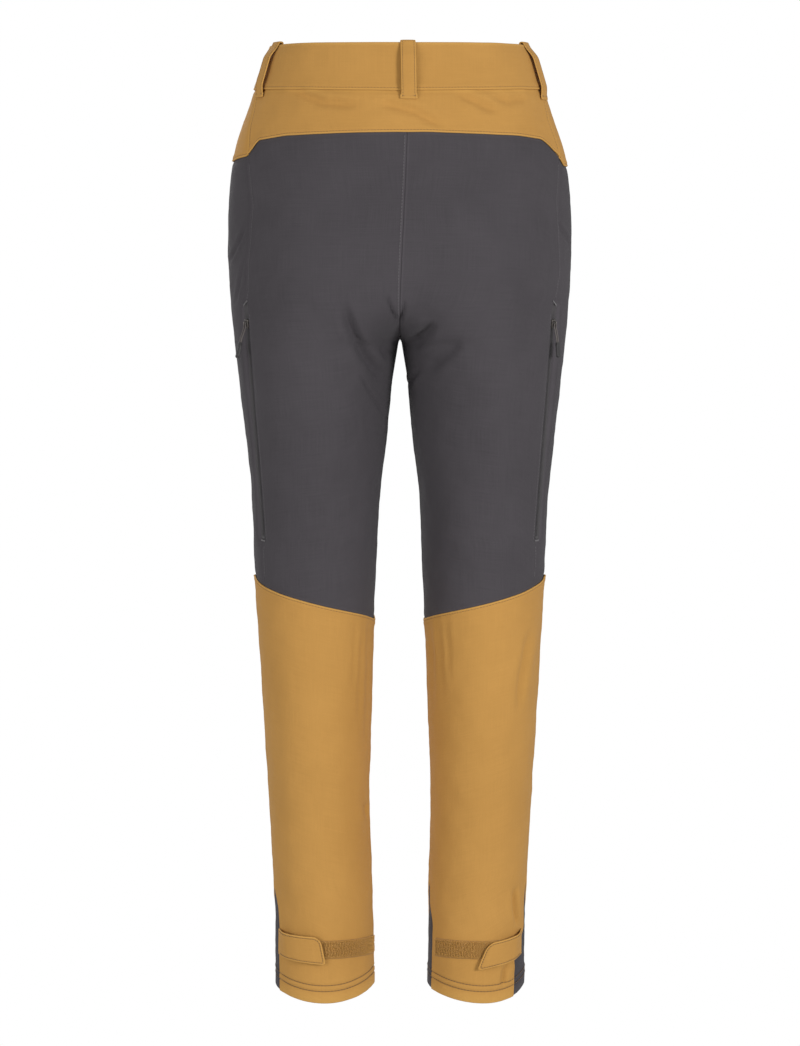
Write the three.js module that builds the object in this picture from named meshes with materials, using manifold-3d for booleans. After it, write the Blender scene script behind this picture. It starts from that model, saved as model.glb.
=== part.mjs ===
// Outdoor trousers as they hang on a body, in millimetres.
// The origin is the centre of the waist opening, level with the waistband's top edge.
// +Z is up, +X the wearer's right, +Y the wearer's front.
import * as THREE from 'three';
import { mergeVertices } from 'three/addons/utils/BufferGeometryUtils.js';
import Module from 'manifold-3d';

const wasm = await Module();
wasm.setup();

// Driving dimensions: lengths down the garment
const rise = 316;
const inseam = 704;
const waistbandHeight = 48;
const cleftStart = 100;

// Driving dimensions: half widths of the pair, and of the gap between the legs
const waistHalf = 143;
const highHipHalf = 172;
const seatHalf = 187;
const crotchHalf = 178;
const kneeHalf = 155;
const kneeGap = 27.2;
const calfHalf = 143;
const calfGap = 34.8;
const hemHalf = 136.5;
const hemGap = 29.5;

// Cloth and seams
const cloth = 1.3;
const bandCloth = 1.6;
const seamGap = 1.2;
const layerGap = 0.8;

// Seam lines
const yokeDrop = 96;
const yokeSideDrop = 125;
const kneeSeamOuter = 571;
const kneeSeamInner = 620;
const sideSeamAngle = 32.5;
const gussetHalf = 42;
const gussetEnd = 400;
const ankleGussetTop = 905;

// Belt loops
const loopWidth = 16;
const loopLength = 53.5;
const loopThick = 1.6;
const beltGap = 6.4;
const frontLoopAngle = 52;
const sideLoopAngle = 22;
const backLoopShift = 9;
const loopTopDrop = 0.5;

// Zips
const sideZipTop = 292;
const sideZipLength = 236;
const handZipTop = 138;
const handZipBottom = 260;
const handZipTopAngle = 46;
const handZipBottomAngle = 28;
const flyTop = 54;
const flyBottom = 196;
const zipSlot = 5.6;
const sideZipDepth = 2.6;
const handZipDepth = 0.6;
const coilHalf = 0.9;
const coilWidth = 2.2;
const coilSlot = 0.6;
const tapeHalf = 0.3;
const tapeWidth = 4.6;
const sliderLength = 9.5;
const sliderHalf = 4.6;
const plateThick = 1;
const sliderClear = 0.5;
const bridgeHole = 2;
const bridgeThick = 1;
const bridgeSpan = 3.5;
const pullThick = 1.2;
const cordRadius = 0.65;
const cordLength = 19;
const cordStand = 1.8;
const pullEndLength = 16;
const pullEndWidth = 7.6;
const pullEndThick = 3.2;
const flatPullLength = 20;
const flyDepth = 11;
const flyShieldDepth = 15.5;
const flyShieldHalf = 24;

// Front closure
const bandEndRight = 14;
const bandEndLeft = 10;
const facingEnd = 30;
const facingThick = 1;
const flyShieldTop = 50;
const flyShieldBottom = flyBottom + 10;
const flyShieldTaper = 0.35;

// Hand-pocket bags and the mesh behind the thigh zips
const bagAbove = 22;
const bagBelow = 38;
const bagBack = 10;
const bagFrontTop = 30;
const bagFrontLow = 44;
const bagClear = 7;
const bagThick = 1.2;
const meshReach = 12;
const meshClear = 2.6;
const meshThick = 0.8;

// Waist tab and snap
const tabRoot = 22;
const tabReach = 40;
const tabThick = 2;
const tabStand = 2.4;
const tabHeight = 40;
const snapPlace = 16;
const snapRadius = 6.5;
const studRadius = 1.9;
const studClear = 0.35;

// Ankle tabs
const ankleTabMid = 972;
const ankleTabHeight = 28;
const ankleTabRootAngle = 28;
const ankleTabTipAngle = 91;
const ankleTabDroop = 9;
const patchHeight = 20;
const patchStart = 64;
const patchEnd = 172;
const patchThick = 1.2;
const padThick = 1;

const ochre = 0xb8893f;
const charcoal = 0x49464a;
const blackened = 0x2f2e31;
const metal = 0x9a9a98;

const degrees = Math.PI / 180;
const outseam = rise + inseam;

// The body's shape: at each drop below the waist edge, the outer half width, the half gap between
// the legs, and the depth behind and before the side line.
const chart = [
  { drop: 0, outer: waistHalf, gap: 0, back: 102, front: 98 },
  { drop: 0.15 * rise, outer: waistHalf + 0.5 * (highHipHalf - waistHalf), gap: 0, back: 106, front: 102 },
  { drop: 0.3 * rise, outer: highHipHalf, gap: 0, back: 113, front: 106 },
  { drop: 0.48 * rise, outer: highHipHalf + 0.75 * (seatHalf - highHipHalf), gap: 0, back: 124, front: 110 },
  { drop: 0.68 * rise, outer: seatHalf, gap: 0, back: 132, front: 112 },
  { drop: 0.87 * rise, outer: crotchHalf + 0.5 * (seatHalf - crotchHalf), gap: 0, back: 131.5, front: 108 },
  { drop: rise, outer: crotchHalf, gap: 0, back: 124.5, front: 103 },
  { drop: rise + 0.09 * inseam, outer: 171.4, gap: 10, back: 111, front: 97 },
  { drop: rise + 0.17 * inseam, outer: 164.7, gap: 16.3, back: 99.7, front: 92 },
  { drop: rise + 0.25 * inseam, outer: 159.8, gap: 22.4, back: 88.5, front: 87 },
  { drop: rise + 0.33 * inseam, outer: 157.6, gap: 24.6, back: 78.5, front: 82 },
  { drop: rise + 0.4 * inseam, outer: kneeHalf, gap: kneeGap, back: 73, front: 77 },
  { drop: rise + 0.56 * inseam, outer: 149, gap: 31.6, back: 73, front: 65 },
  { drop: rise + 0.71 * inseam, outer: calfHalf, gap: calfGap, back: 68, front: 58 },
  { drop: rise + 0.86 * inseam, outer: 138.3, gap: 31.6, back: 60, front: 58 },
  { drop: outseam, outer: hemHalf, gap: hemGap, back: 58, front: 60 },
];

// A smooth curve through rows[i][key] over rows[i].drop, read at one drop.
function through(rows, key, drop) {
  const last = rows.length - 1;
  let i = rows.findIndex((row, k) => k > 0 && drop <= row.drop);
  if (i < 0) i = last;
  const slope = (k) => {
    const before = rows[Math.max(0, k - 1)];
    const after = rows[Math.min(last, k + 1)];
    return (after[key] - before[key]) / (after.drop - before.drop);
  };
  const start = rows[i - 1];
  const stop = rows[i];
  const span = stop.drop - start.drop;
  const t = (drop - start.drop) / span;
  const rest = 1 - t;
  return start[key] * (1 + 2 * t) * rest * rest + stop[key] * t * t * (3 - 2 * t)
    + slope(i - 1) * span * t * rest * rest - slope(i) * span * t * t * rest;
}

const legRows = chart.filter((row) => row.drop >= rise);

// One leg's section at a drop: its centre and half width across, its depths, and the angle where
// the section meets the middle plane (a half turn below the crotch).
function section(drop) {
  const outer = through(chart, 'outer', drop);
  const gap = drop > rise ? through(legRows, 'gap', drop) : 0;
  const share = Math.min(1, Math.max(0, (drop - cleftStart) / (rise - cleftStart)));
  const centre = drop > rise ? (outer + gap) / 2 : share * share * outer / 2;
  const half = outer - centre;
  const end = drop >= rise ? Math.PI : Math.acos(-centre / half);
  return {
    centre, half, end,
    back: through(chart, 'back', drop),
    front: through(chart, 'front', drop),
  };
}

// A point of the form: angle 0 is the outer side, positive angles go round the back.
function onForm(side, angle, drop) {
  const s = section(drop);
  const turn = Math.min(Math.abs(angle), s.end);
  const depth = angle >= 0 ? -s.back : s.front;
  return new THREE.Vector3(side * (s.centre + s.half * Math.cos(turn)), depth * Math.sin(turn), -drop);
}

function outwardAt(side, angle, drop) {
  const step = 0.01;
  const end = section(drop).end;
  const low = Math.max(-end, angle - step);
  const high = Math.min(end, angle + step);
  const along = onForm(side, high, drop).sub(onForm(side, low, drop));
  const down = onForm(side, angle, drop + 1).sub(onForm(side, angle, drop - 1));
  return along.cross(down).multiplyScalar(side).normalize();
}

function offForm(side, angle, drop, stand) {
  return onForm(side, angle, drop).addScaledVector(outwardAt(side, angle, drop), stand);
}

// The same, moved level, so that the waist edge and the hems end in one plane.
function levelOff(side, angle, drop, stand) {
  const outward = outwardAt(side, angle, drop).setZ(0).normalize();
  return onForm(side, angle, drop).addScaledVector(outward, stand);
}

// The angle that a length along the surface spans, near one place on the form.
function angleOf(length, angle, drop) {
  const s = section(drop);
  const depth = angle >= 0 ? s.back : s.front;
  return length / Math.hypot(s.half * Math.sin(angle), depth * Math.cos(angle));
}

const ease = (t) => {
  const c = Math.min(1, Math.max(0, t));
  return c * c * (3 - 2 * c);
};

// Seam lines on the form
const sideSeamStraight = 170;
const sideSeamTopAngle = 6;
const sideSeamSwing = sideSeamAngle - sideSeamTopAngle;
const sideSeamLean = (drop) => Math.min(1, Math.max(0, drop / sideSeamStraight));
const sideSeam = (drop) => degrees * (sideSeamTopAngle + sideSeamSwing * sideSeamLean(drop));

// The front seam runs straight down, then follows the straight hand-pocket zip, then straight down.
function frontSeam(drop) {
  if (drop <= handZipTop) return -degrees * handZipTopAngle;
  if (drop >= handZipBottom) return -degrees * handZipBottomAngle;
  const high = onForm(1, -degrees * handZipTopAngle, handZipTop);
  const low = onForm(1, -degrees * handZipBottomAngle, handZipBottom);
  const chord = high.lerp(low, (drop - handZipTop) / (handZipBottom - handZipTop));
  let [near, far] = [degrees * (handZipBottomAngle - 20), degrees * (handZipTopAngle + 20)];
  for (let k = 0; k < 24; k += 1) {
    const turn = (near + far) / 2;
    const spot = onForm(1, -turn, drop);
    const along = onForm(1, -turn - 0.001, drop).sub(spot);
    if (spot.sub(chord).dot(along) > 0) far = turn;
    else near = turn;
  }
  return -(near + far) / 2;
}

function yokeSeam(angle) {
  const turn = Math.abs(angle) / degrees;
  if (angle < 0) return yokeSideDrop - (yokeSideDrop - yokeDrop) * ease(turn / 90);
  const bend = ease((40 - turn) / 16);
  return yokeDrop + (yokeSideDrop - yokeDrop) * (0.1 * ease((90 - turn) / 50) + 0.75 * bend)
    + 0.15 * (yokeSideDrop - yokeDrop) * ease((26 - turn) / 26);
}

const kneeSeam = (angle) => kneeSeamOuter + (kneeSeamInner - kneeSeamOuter) * Math.abs(angle) / Math.PI;

// Where a panel stops towards the inside of the leg: the middle plane, then the crotch gusset's
// edge, then the inseam.
function valleyDepth(drop, sign) {
  const s = section(drop);
  return (sign > 0 ? s.back : s.front) * Math.sin(s.end);
}

function gussetTop(sign) {
  let high = rise - 40;
  let low = rise;
  for (let k = 0; k < 30; k += 1) {
    const mid = (high + low) / 2;
    if (valleyDepth(mid, sign) > gussetHalf) high = mid;
    else low = mid;
  }
  return low;
}

const gussetTops = { 1: gussetTop(1), '-1': gussetTop(-1) };
const gussetTip = 5;

function gussetEdge(drop, sign) {
  const t = (gussetEnd - drop) / (gussetEnd - gussetTops[sign]);
  return gussetTip + (gussetHalf - gussetTip) * Math.min(1, Math.max(0, t));
}

function innerLimit(drop, sign) {
  const s = section(drop);
  const depth = sign > 0 ? s.back : s.front;
  let edge = 0;
  if (drop > gussetTops[sign] && drop < gussetEnd + gussetTip) edge = gussetEdge(drop, sign) + seamGap;
  const turn = drop > gussetTops[sign] ? Math.PI - Math.asin(edge / depth) : s.end;
  return turn - angleOf(seamGap / 2, turn, drop);
}

// Geometry helpers
function tidy(geometry) {
  geometry.deleteAttribute('normal');
  geometry.deleteAttribute('uv');
  const merged = mergeVertices(geometry, 1e-5);
  const at = merged.getAttribute('position');
  const index = merged.getIndex().array;
  const [a, b, c] = [new THREE.Vector3(), new THREE.Vector3(), new THREE.Vector3()];
  let volume = 0;
  for (let i = 0; i < index.length; i += 3) {
    a.fromBufferAttribute(at, index[i]);
    b.fromBufferAttribute(at, index[i + 1]);
    c.fromBufferAttribute(at, index[i + 2]);
    volume += a.dot(b.cross(c));
  }
  if (volume < 0) {
    for (let i = 0; i < index.length; i += 3) {
      [index[i], index[i + 1]] = [index[i + 1], index[i]];
    }
  }
  merged.computeVertexNormals();
  return merged;
}

function solidOf(geometry) {
  const merged = tidy(geometry);
  const mesh = new wasm.Mesh({
    numProp: 3,
    vertProperties: new Float32Array(merged.getAttribute('position').array),
    triVerts: new Uint32Array(merged.getIndex().array),
  });
  return new wasm.Manifold(mesh);
}

function geometryOf(solid) {
  const mesh = solid.getMesh();
  const geometry = new THREE.BufferGeometry();
  geometry.setAttribute('position', new THREE.BufferAttribute(mesh.vertProperties, 3));
  geometry.setIndex(new THREE.BufferAttribute(mesh.triVerts, 1));
  geometry.computeVertexNormals();
  return geometry;
}

const join = (...pieces) => geometryOf(pieces.map(solidOf).reduce((sum, piece) => sum.add(piece)));

function block(x0, x1, y0, y1, z0, z1) {
  const box = new THREE.BoxGeometry(x1 - x0, y1 - y0, z1 - z0);
  box.translate((x0 + x1) / 2, (y0 + y1) / 2, (z0 + z1) / 2);
  return box;
}

function mesh(name, geometry, color, roughness = 0.9, metalness = 0) {
  const made = new THREE.Mesh(geometry, new THREE.MeshStandardMaterial({ color, roughness, metalness }));
  made.name = name;
  return made;
}

// A closed thin sheet: a flat box whose points are each carried to place(across, along, through),
// with its columns and rows at the given shares of its width and length.
function sheet(columns, rows, place) {
  const box = new THREE.BoxGeometry(1, 1, 1, columns.length - 1, 1, rows.length - 1);
  const at = box.getAttribute('position');
  for (let i = 0; i < at.count; i += 1) {
    const column = Math.round((at.getX(i) + 0.5) * (columns.length - 1));
    const row = Math.round((at.getZ(i) + 0.5) * (rows.length - 1));
    const spot = place(columns[column], rows[row], 0.5 - at.getY(i));
    at.setXYZ(i, spot.x, spot.y, spot.z);
  }
  return tidy(box);
}

const even = (count) => Array.from({ length: count + 1 }, (_, k) => k / count);

// Column shares that a piece above the back yoke seam and the piece below it both use, from the
// side seam to the middle, so that their edges bend at the same places.
const seamTurns = [0, 0.06, 0.12, 0.18, 0.26, 0.42, 0.61, 0.8, 1];
const seamSpan = [...seamTurns.map((t) => t / 2), ...seamTurns.slice(0, -1).reverse().map((t) => 1 - t / 2)];

// The shares of a piece's length that its edge at one angle reaches at the listed drops.
function sharesAt(drops, angle, top, bottom) {
  const length = bottom(angle) - top(angle);
  return drops.map((drop) => (drop - top(angle)) / length);
}

// Row shares: even ones, with extra ones put between them and near neighbours left out.
function rowsWith(count, extra) {
  const clear = (v) => extra.every((e) => Math.abs(e - v) > 0.35 / count);
  const kept = even(count).filter((v) => v === 0 || v === 1 || clear(v));
  return [...kept, ...extra].sort((p, q) => p - q);
}

// A cloth panel on one side of the form, between two angle limits and two seam lines.
function panel(side, { from, to, top, bottom, columns, rows, stand = 0, thick = cloth, off = offForm }) {
  return sheet(columns, rows, (u, v, w) => {
    let angle = 0;
    let drop = top(0) + (bottom(0) - top(0)) * v;
    for (let k = 0; k < 6; k += 1) {
      angle = from(drop) + (to(drop) - from(drop)) * u;
      drop = top(angle) + (bottom(angle) - top(angle)) * v;
    }
    return off(side, angle, drop, stand - w * thick);
  });
}

// A piece that crosses the middle plane, from the left limit round to the right one.
function span(sign, { limit, top, bottom, columns, rows, stand = 0, thick = cloth, off = offForm }) {
  return sheet(columns, rows, (u, v, w) => {
    const share = 2 * u - 1;
    const side = share < 0 ? -1 : 1;
    let angle = sign * Math.PI / 2;
    let drop = top(angle) + (bottom(angle) - top(angle)) * v;
    for (let k = 0; k < 6; k += 1) {
      const end = section(drop).end;
      angle = sign * end + (limit(drop) - sign * end) * Math.abs(share);
      drop = top(angle) + (bottom(angle) - top(angle)) * v;
    }
    return off(side, angle, drop, stand - w * thick);
  });
}

// Half the gap at a seam that a zip runs in: a hair, or the slot over the zip's length.
const slotRamp = 6;

function halfGap(drop, top, bottom) {
  const inside = Math.min(drop - top + slotRamp, bottom - drop + slotRamp) / slotRamp;
  return seamGap / 2 + (zipSlot - seamGap / 2) * Math.min(1, Math.max(0, inside));
}

const sideZipEnd = sideZipTop + sideZipLength;
const zipMargin = 4;
const sideSlot = (drop) => halfGap(drop, sideZipTop - zipMargin, sideZipEnd + zipMargin);
const handSlot = (drop) => halfGap(drop, handZipTop - zipMargin, handZipBottom + zipMargin);
const slotTop = (top) => [top - zipMargin - slotRamp, top - zipMargin];
const slotBottom = (bottom) => [bottom + zipMargin, bottom + zipMargin + slotRamp];

const names = { 1: 'right', '-1': 'left' };
const trousers = new THREE.Group();

// Waistband: an outer band in three pieces, and one facing inside it.
function waistband() {
  const bandTop = () => 0;
  const bandBottom = () => waistbandHeight - seamGap / 2;
  const limit = (drop) => sideSeam(drop) + angleOf(seamGap / 2, sideSeam(drop), drop);
  const band = { top: bandTop, bottom: bandBottom, rows: even(2), thick: bandCloth, off: levelOff };
  trousers.add(mesh('waistband_back', span(1, { ...band, limit, columns: even(24) }), ochre));
  for (const side of [1, -1]) {
    const reach = side > 0 ? bandEndRight : -bandEndLeft;
    const to = (drop) => -Math.acos(reach / section(drop).half);
    const from = (drop) => sideSeam(drop) - angleOf(seamGap / 2, sideSeam(drop), drop);
    const geometry = panel(side, { ...band, from, to, columns: even(14) });
    trousers.add(mesh(`waistband_front_${names[side]}`, geometry, ochre));
  }
  const open = (drop) => -Math.acos(facingEnd / section(drop).half);
  const facing = {
    limit: open,
    top: () => 1,
    bottom: () => waistbandHeight - 2,
    rows: even(1),
    columns: even(28),
    stand: -bandCloth - layerGap,
    thick: facingThick,
  };
  trousers.add(mesh('waistband_facing', span(1, facing), ochre));
}

// Yoke: one piece round the back, and one each side of the fly.
function yokes() {
  const top = () => waistbandHeight + seamGap / 2;
  const bottom = (angle) => yokeSeam(angle) - seamGap / 2;
  const limit = (drop) => sideSeam(drop) + angleOf(seamGap / 2, sideSeam(drop), drop);
  trousers.add(mesh('yoke_back', span(1, { limit, top, bottom, columns: seamSpan, rows: even(3) }), ochre));
  for (const side of [1, -1]) {
    const from = (drop) => sideSeam(drop) - angleOf(seamGap / 2, sideSeam(drop), drop);
    const to = (drop) => -section(drop).end + angleOf(seamGap / 2, section(drop).end, drop);
    const geometry = panel(side, { from, to, top, bottom, columns: even(18), rows: even(3) });
    trousers.add(mesh(`yoke_front_${names[side]}`, geometry, ochre));
  }
}

// Thigh: a back panel, a side panel between the two zip seams, and a front panel.
function thighs() {
  const top = (angle) => yokeSeam(angle) + seamGap / 2;
  const bottom = (angle) => kneeSeam(angle) - seamGap / 2;
  const backEdge = (drop) => sideSeam(drop) + angleOf(sideSlot(drop), sideSeam(drop), drop);
  const sideBack = (drop) => sideSeam(drop) - angleOf(sideSlot(drop), sideSeam(drop), drop);
  const sideFront = (drop) => frontSeam(drop) + angleOf(handSlot(drop), frontSeam(drop), drop);
  const frontEdge = (drop) => frontSeam(drop) - angleOf(handSlot(drop), frontSeam(drop), drop);
  const sideDrops = [sideSeamStraight, ...slotTop(sideZipTop), ...slotBottom(sideZipEnd)];
  const sideRows = sharesAt(sideDrops, sideSeamAngle * degrees, top, bottom);
  const handDrops = [...slotTop(handZipTop), handZipTop];
  const handLate = handZipTop + 0.75 * (handZipBottom - handZipTop);
  const handEndDrops = [handLate, handZipBottom, ...slotBottom(handZipBottom)];
  const handRows = [
    ...sharesAt(handDrops, -handZipTopAngle * degrees, top, bottom),
    ...sharesAt(handEndDrops, -handZipBottomAngle * degrees, top, bottom),
  ];
  const crotchRows = (sign) => {
    const drops = [gussetTops[sign] - 1, gussetTops[sign] + 2, rise + 2, gussetEnd, gussetEnd + 8];
    return sharesAt(drops, Math.PI, top, bottom);
  };
  for (const side of [1, -1]) {
    const back = {
      from: backEdge,
      to: (drop) => innerLimit(drop, 1),
      top,
      bottom,
      columns: seamTurns,
      rows: rowsWith(9, [...sideRows, ...crotchRows(1)]),
    };
    trousers.add(mesh(`back_panel_${names[side]}`, panel(side, back), charcoal));
    const flank = {
      from: sideFront,
      to: sideBack,
      top,
      bottom,
      columns: even(5),
      rows: rowsWith(9, [...sideRows, ...handRows]),
    };
    trousers.add(mesh(`side_panel_${names[side]}`, panel(side, flank), charcoal));
    const front = {
      from: frontEdge,
      to: (drop) => -innerLimit(drop, -1),
      top,
      bottom,
      columns: even(8),
      rows: rowsWith(9, [...handRows, ...crotchRows(-1)]),
    };
    trousers.add(mesh(`front_panel_${names[side]}`, panel(side, front), charcoal));
  }
}

// Crotch gusset: a pointed strip that runs down the inside of one thigh, over the crotch and down
// the other.
function crotchGusset() {
  const valley = (y) => {
    const sign = y < 0 ? 1 : -1;
    let high = rise - 60;
    let low = rise;
    for (let k = 0; k < 30; k += 1) {
      const mid = (high + low) / 2;
      if (valleyDepth(mid, sign) > Math.abs(y)) high = mid;
      else low = mid;
    }
    return low;
  };
  const place = (u, v, w) => {
    const share = 2 * u - 1;
    const side = share < 0 ? -1 : 1;
    const run = 1 - Math.abs(share);
    const sign = v < 0.5 ? 1 : -1;
    let drop = rise + (gussetEnd - rise) * (1 - run);
    let y = 0;
    for (let k = 0; k < 8; k += 1) {
      y = (2 * v - 1) * gussetEdge(drop, sign);
      const start = valley(y) + 0.5;
      drop = start + (gussetEnd - start) * (1 - run);
    }
    const s = section(drop);
    const depth = sign > 0 ? s.back : s.front;
    const angle = sign * Math.min(s.end, Math.PI - Math.asin(Math.abs(y) / depth));
    const spot = offForm(side, angle, drop, -w * cloth);
    if (run > 0.999) spot.set(0, y, -drop - w * cloth);
    return spot;
  };
  trousers.add(mesh('crotch_gusset', sheet(even(12), even(4), place), charcoal));
}

// Lower leg: a calf panel behind, a shin panel before, and a narrow gusset let into each seam.
const gussetAngles = {
  right: { outer: [-22, 35], inner: [143, 202] },
  left: { outer: [-32, 26], inner: [160, 212] },
};

const opening = (drop) => Math.max(0, (drop - ankleGussetTop) / (outseam - ankleGussetTop));

function lowerLegs() {
  const top = (angle) => kneeSeam(angle) + seamGap;
  const hem = () => outseam;
  for (const side of [1, -1]) {
    const edges = gussetAngles[names[side]];
    const line = (rest, low) => (drop) => rest + (degrees * low - rest) * opening(drop);
    const gap = (at) => (drop) => angleOf(seamGap / 2, at(drop), drop);
    const outerBack = line(0, edges.outer[1]);
    const outerFront = line(0, edges.outer[0]);
    const innerBack = line(Math.PI, edges.inner[0]);
    const innerFront = line(Math.PI, edges.inner[1]);
    const turn = (angle) => (angle > Math.PI ? angle - 2 * Math.PI : angle);
    const wrap = (fromAngle, toAngle, topLine, columns, rows) => sheet(columns, rows, (u, v, w) => {
      let drop = topLine(0) + (outseam - topLine(0)) * v;
      let angle = 0;
      for (let k = 0; k < 6; k += 1) {
        angle = fromAngle(drop) + (toAngle(drop) - fromAngle(drop)) * u;
        drop = topLine(turn(angle)) + (hem() - topLine(turn(angle))) * v;
      }
      return levelOff(side, turn(angle), drop, -w * cloth);
    });
    const legRowShares = rowsWith(6, sharesAt([ankleGussetTop], Math.PI / 2, top, hem));
    const calf = wrap(
      (drop) => outerBack(drop) + gap(outerBack)(drop),
      (drop) => innerBack(drop) - gap(innerBack)(drop),
      top, even(10), legRowShares,
    );
    trousers.add(mesh(`calf_panel_${names[side]}`, calf, ochre));
    const shin = wrap(
      (drop) => innerFront(drop) + gap(innerFront)(drop),
      (drop) => 2 * Math.PI + outerFront(drop) - gap(outerFront)(drop),
      top, even(10), legRowShares,
    );
    trousers.add(mesh(`shin_panel_${names[side]}`, shin, ochre));
    const wedgeTop = () => ankleGussetTop + 16;
    const outerWedge = wrap(
      (drop) => outerFront(drop) + 2 * gap(outerFront)(drop),
      (drop) => outerBack(drop) - 2 * gap(outerBack)(drop),
      wedgeTop, even(4), even(4),
    );
    trousers.add(mesh(`ankle_gusset_outer_${names[side]}`, outerWedge, charcoal));
    const innerWedge = wrap(
      (drop) => innerBack(drop) + 2 * gap(innerBack)(drop),
      (drop) => innerFront(drop) - 2 * gap(innerFront)(drop),
      wedgeTop, even(4), even(4),
    );
    trousers.add(mesh(`ankle_gusset_inner_${names[side]}`, innerWedge, charcoal));
  }
}

// Belt loop: a folded strip sewn down at both ends, standing off the band between them.
function beltLoop(name, side, angle) {
  const top = onForm(side, angle, 0);
  const low = onForm(side, angle, loopLength);
  const outward = outwardAt(side, angle, waistbandHeight / 2).setZ(0).normalize();
  const across = new THREE.Vector3(-outward.y, outward.x, 0);
  const rows = [0, 0.08, 0.16, 0.24, 0.34, 0.5, 0.66, 0.76, 0.84, 0.92, 1];
  const place = (u, v, w) => {
    const rest = top.clone().lerp(low, v);
    rest.z = -loopTopDrop - (loopLength - loopTopDrop) * v;
    const held = onForm(side, angle, -rest.z).sub(rest).dot(outward);
    const lift = ease(Math.min(v, 1 - v) / 0.26);
    const stand = held + layerGap + (beltGap - layerGap) * lift + loopThick * (1 - w);
    return rest.addScaledVector(across, (u - 0.5) * loopWidth).addScaledVector(outward, stand);
  };
  trousers.add(mesh(name, sheet(even(1), rows, place), ochre));
}

// Zip parts, in a frame whose +Y runs up the zip, +Z out of the cloth and +X across.
function zipTape(length) {
  const half = (sign) => {
    const outline = new THREE.Shape();
    outline.moveTo(sign * coilSlot, -coilHalf);
    outline.lineTo(sign * (coilSlot + coilWidth), -coilHalf);
    outline.lineTo(sign * (coilSlot + coilWidth), -tapeHalf);
    outline.lineTo(sign * tapeWidth, -tapeHalf);
    outline.lineTo(sign * tapeWidth, tapeHalf);
    outline.lineTo(sign * (coilSlot + coilWidth), tapeHalf);
    outline.lineTo(sign * (coilSlot + coilWidth), coilHalf);
    outline.lineTo(sign * coilSlot, coilHalf);
    outline.closePath();
    const run = new THREE.ExtrudeGeometry(outline, { depth: length, bevelEnabled: false });
    return run.rotateX(-Math.PI / 2).translate(0, -length, 0);
  };
  const reach = coilSlot + coilWidth + 0.4;
  const stop = block(-reach, reach, -length, -length + 3, -coilHalf - 0.2, coilHalf + 0.2);
  return join(half(1), half(-1), stop);
}

const plateFloor = coilHalf + sliderClear;
const plateTop = plateFloor + plateThick;
const bridgeAxis = plateTop + bridgeHole / 2;

function zipSlider() {
  const low = -sliderLength;
  const flangeIn = coilSlot + coilWidth + sliderClear;
  const flangeTip = tapeHalf + sliderClear;
  const bridgeLow = -sliderLength / 2 - bridgeSpan / 2;
  const bridgeHigh = bridgeLow + bridgeSpan;
  const bridgeStart = bridgeLow - bridgeThick;
  const bridgeStop = bridgeHigh + bridgeThick;
  const bridgeTop = plateTop + bridgeHole;
  const bridgeRoof = bridgeTop + bridgeThick;
  const bridgeHalf = 0.7;
  const pieces = [
    block(-sliderHalf, sliderHalf, low, 0, plateFloor, plateTop),
    block(-sliderHalf, sliderHalf, low, 0, -plateTop, -plateFloor),
    block(-0.25, 0.25, -3.5, -0.5, -plateFloor - 0.3, plateFloor + 0.3),
    block(-bridgeHalf, bridgeHalf, bridgeStart, bridgeLow, plateTop - 0.3, bridgeRoof),
    block(-bridgeHalf, bridgeHalf, bridgeHigh, bridgeStop, plateTop - 0.3, bridgeRoof),
    block(-bridgeHalf, bridgeHalf, bridgeStart, bridgeStop, bridgeTop, bridgeRoof),
  ];
  for (const sign of [1, -1]) {
    for (const face of [1, -1]) {
      const x = [sign * flangeIn, sign * sliderHalf].sort((p, q) => p - q);
      const z = [face * flangeTip, face * (plateFloor + 0.3)].sort((p, q) => p - q);
      pieces.push(block(x[0], x[1], low, 0, z[0], z[1]));
    }
  }
  return join(...pieces);
}

// A flat moulded or pressed pull, its ring through the slider's bridge; the swing axis is its origin.
function flatPull() {
  const half = 2.9;
  const window = 1.7;
  const outline = new THREE.Shape();
  outline.moveTo(-half, pullThick / 2);
  outline.lineTo(-half, -flatPullLength + 2);
  outline.quadraticCurveTo(-half, -flatPullLength, -half + 2, -flatPullLength);
  outline.lineTo(half - 2, -flatPullLength);
  outline.quadraticCurveTo(half, -flatPullLength, half, -flatPullLength + 2);
  outline.lineTo(half, pullThick / 2);
  outline.closePath();
  const hole = new THREE.Path();
  hole.moveTo(-window, -pullThick / 2);
  hole.lineTo(window, -pullThick / 2);
  hole.lineTo(window, -5);
  hole.lineTo(-window, -5);
  hole.closePath();
  outline.holes.push(hole);
  const settings = { depth: pullThick, bevelEnabled: false, curveSegments: 3 };
  return tidy(new THREE.ExtrudeGeometry(outline, settings).translate(0, 0, -pullThick / 2));
}

// A cord hairpin through the bridge, and the moulded end that its two ends go into.
function pullCord() {
  const spread = 2.2;
  const strand = [
    [0.75 * spread, -cordLength, cordStand],
    [0.9 * spread, -0.6 * cordLength, 0.8 * cordStand],
    [spread, -3, 0.2],
    [0.7 * spread, -0.7, 0],
  ];
  const there = strand.map(([x, y, z]) => new THREE.Vector3(-x, y, z));
  const back = strand.map(([x, y, z]) => new THREE.Vector3(x, y, z)).reverse();
  const bend = new THREE.CatmullRomCurve3([...there, new THREE.Vector3(0, 0, 0), ...back]);
  const ring = new THREE.Shape().absarc(0, 0, cordRadius, 0, 2 * Math.PI);
  return tidy(new THREE.ExtrudeGeometry(ring, { steps: 18, extrudePath: bend, curveSegments: 3 }));
}

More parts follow.
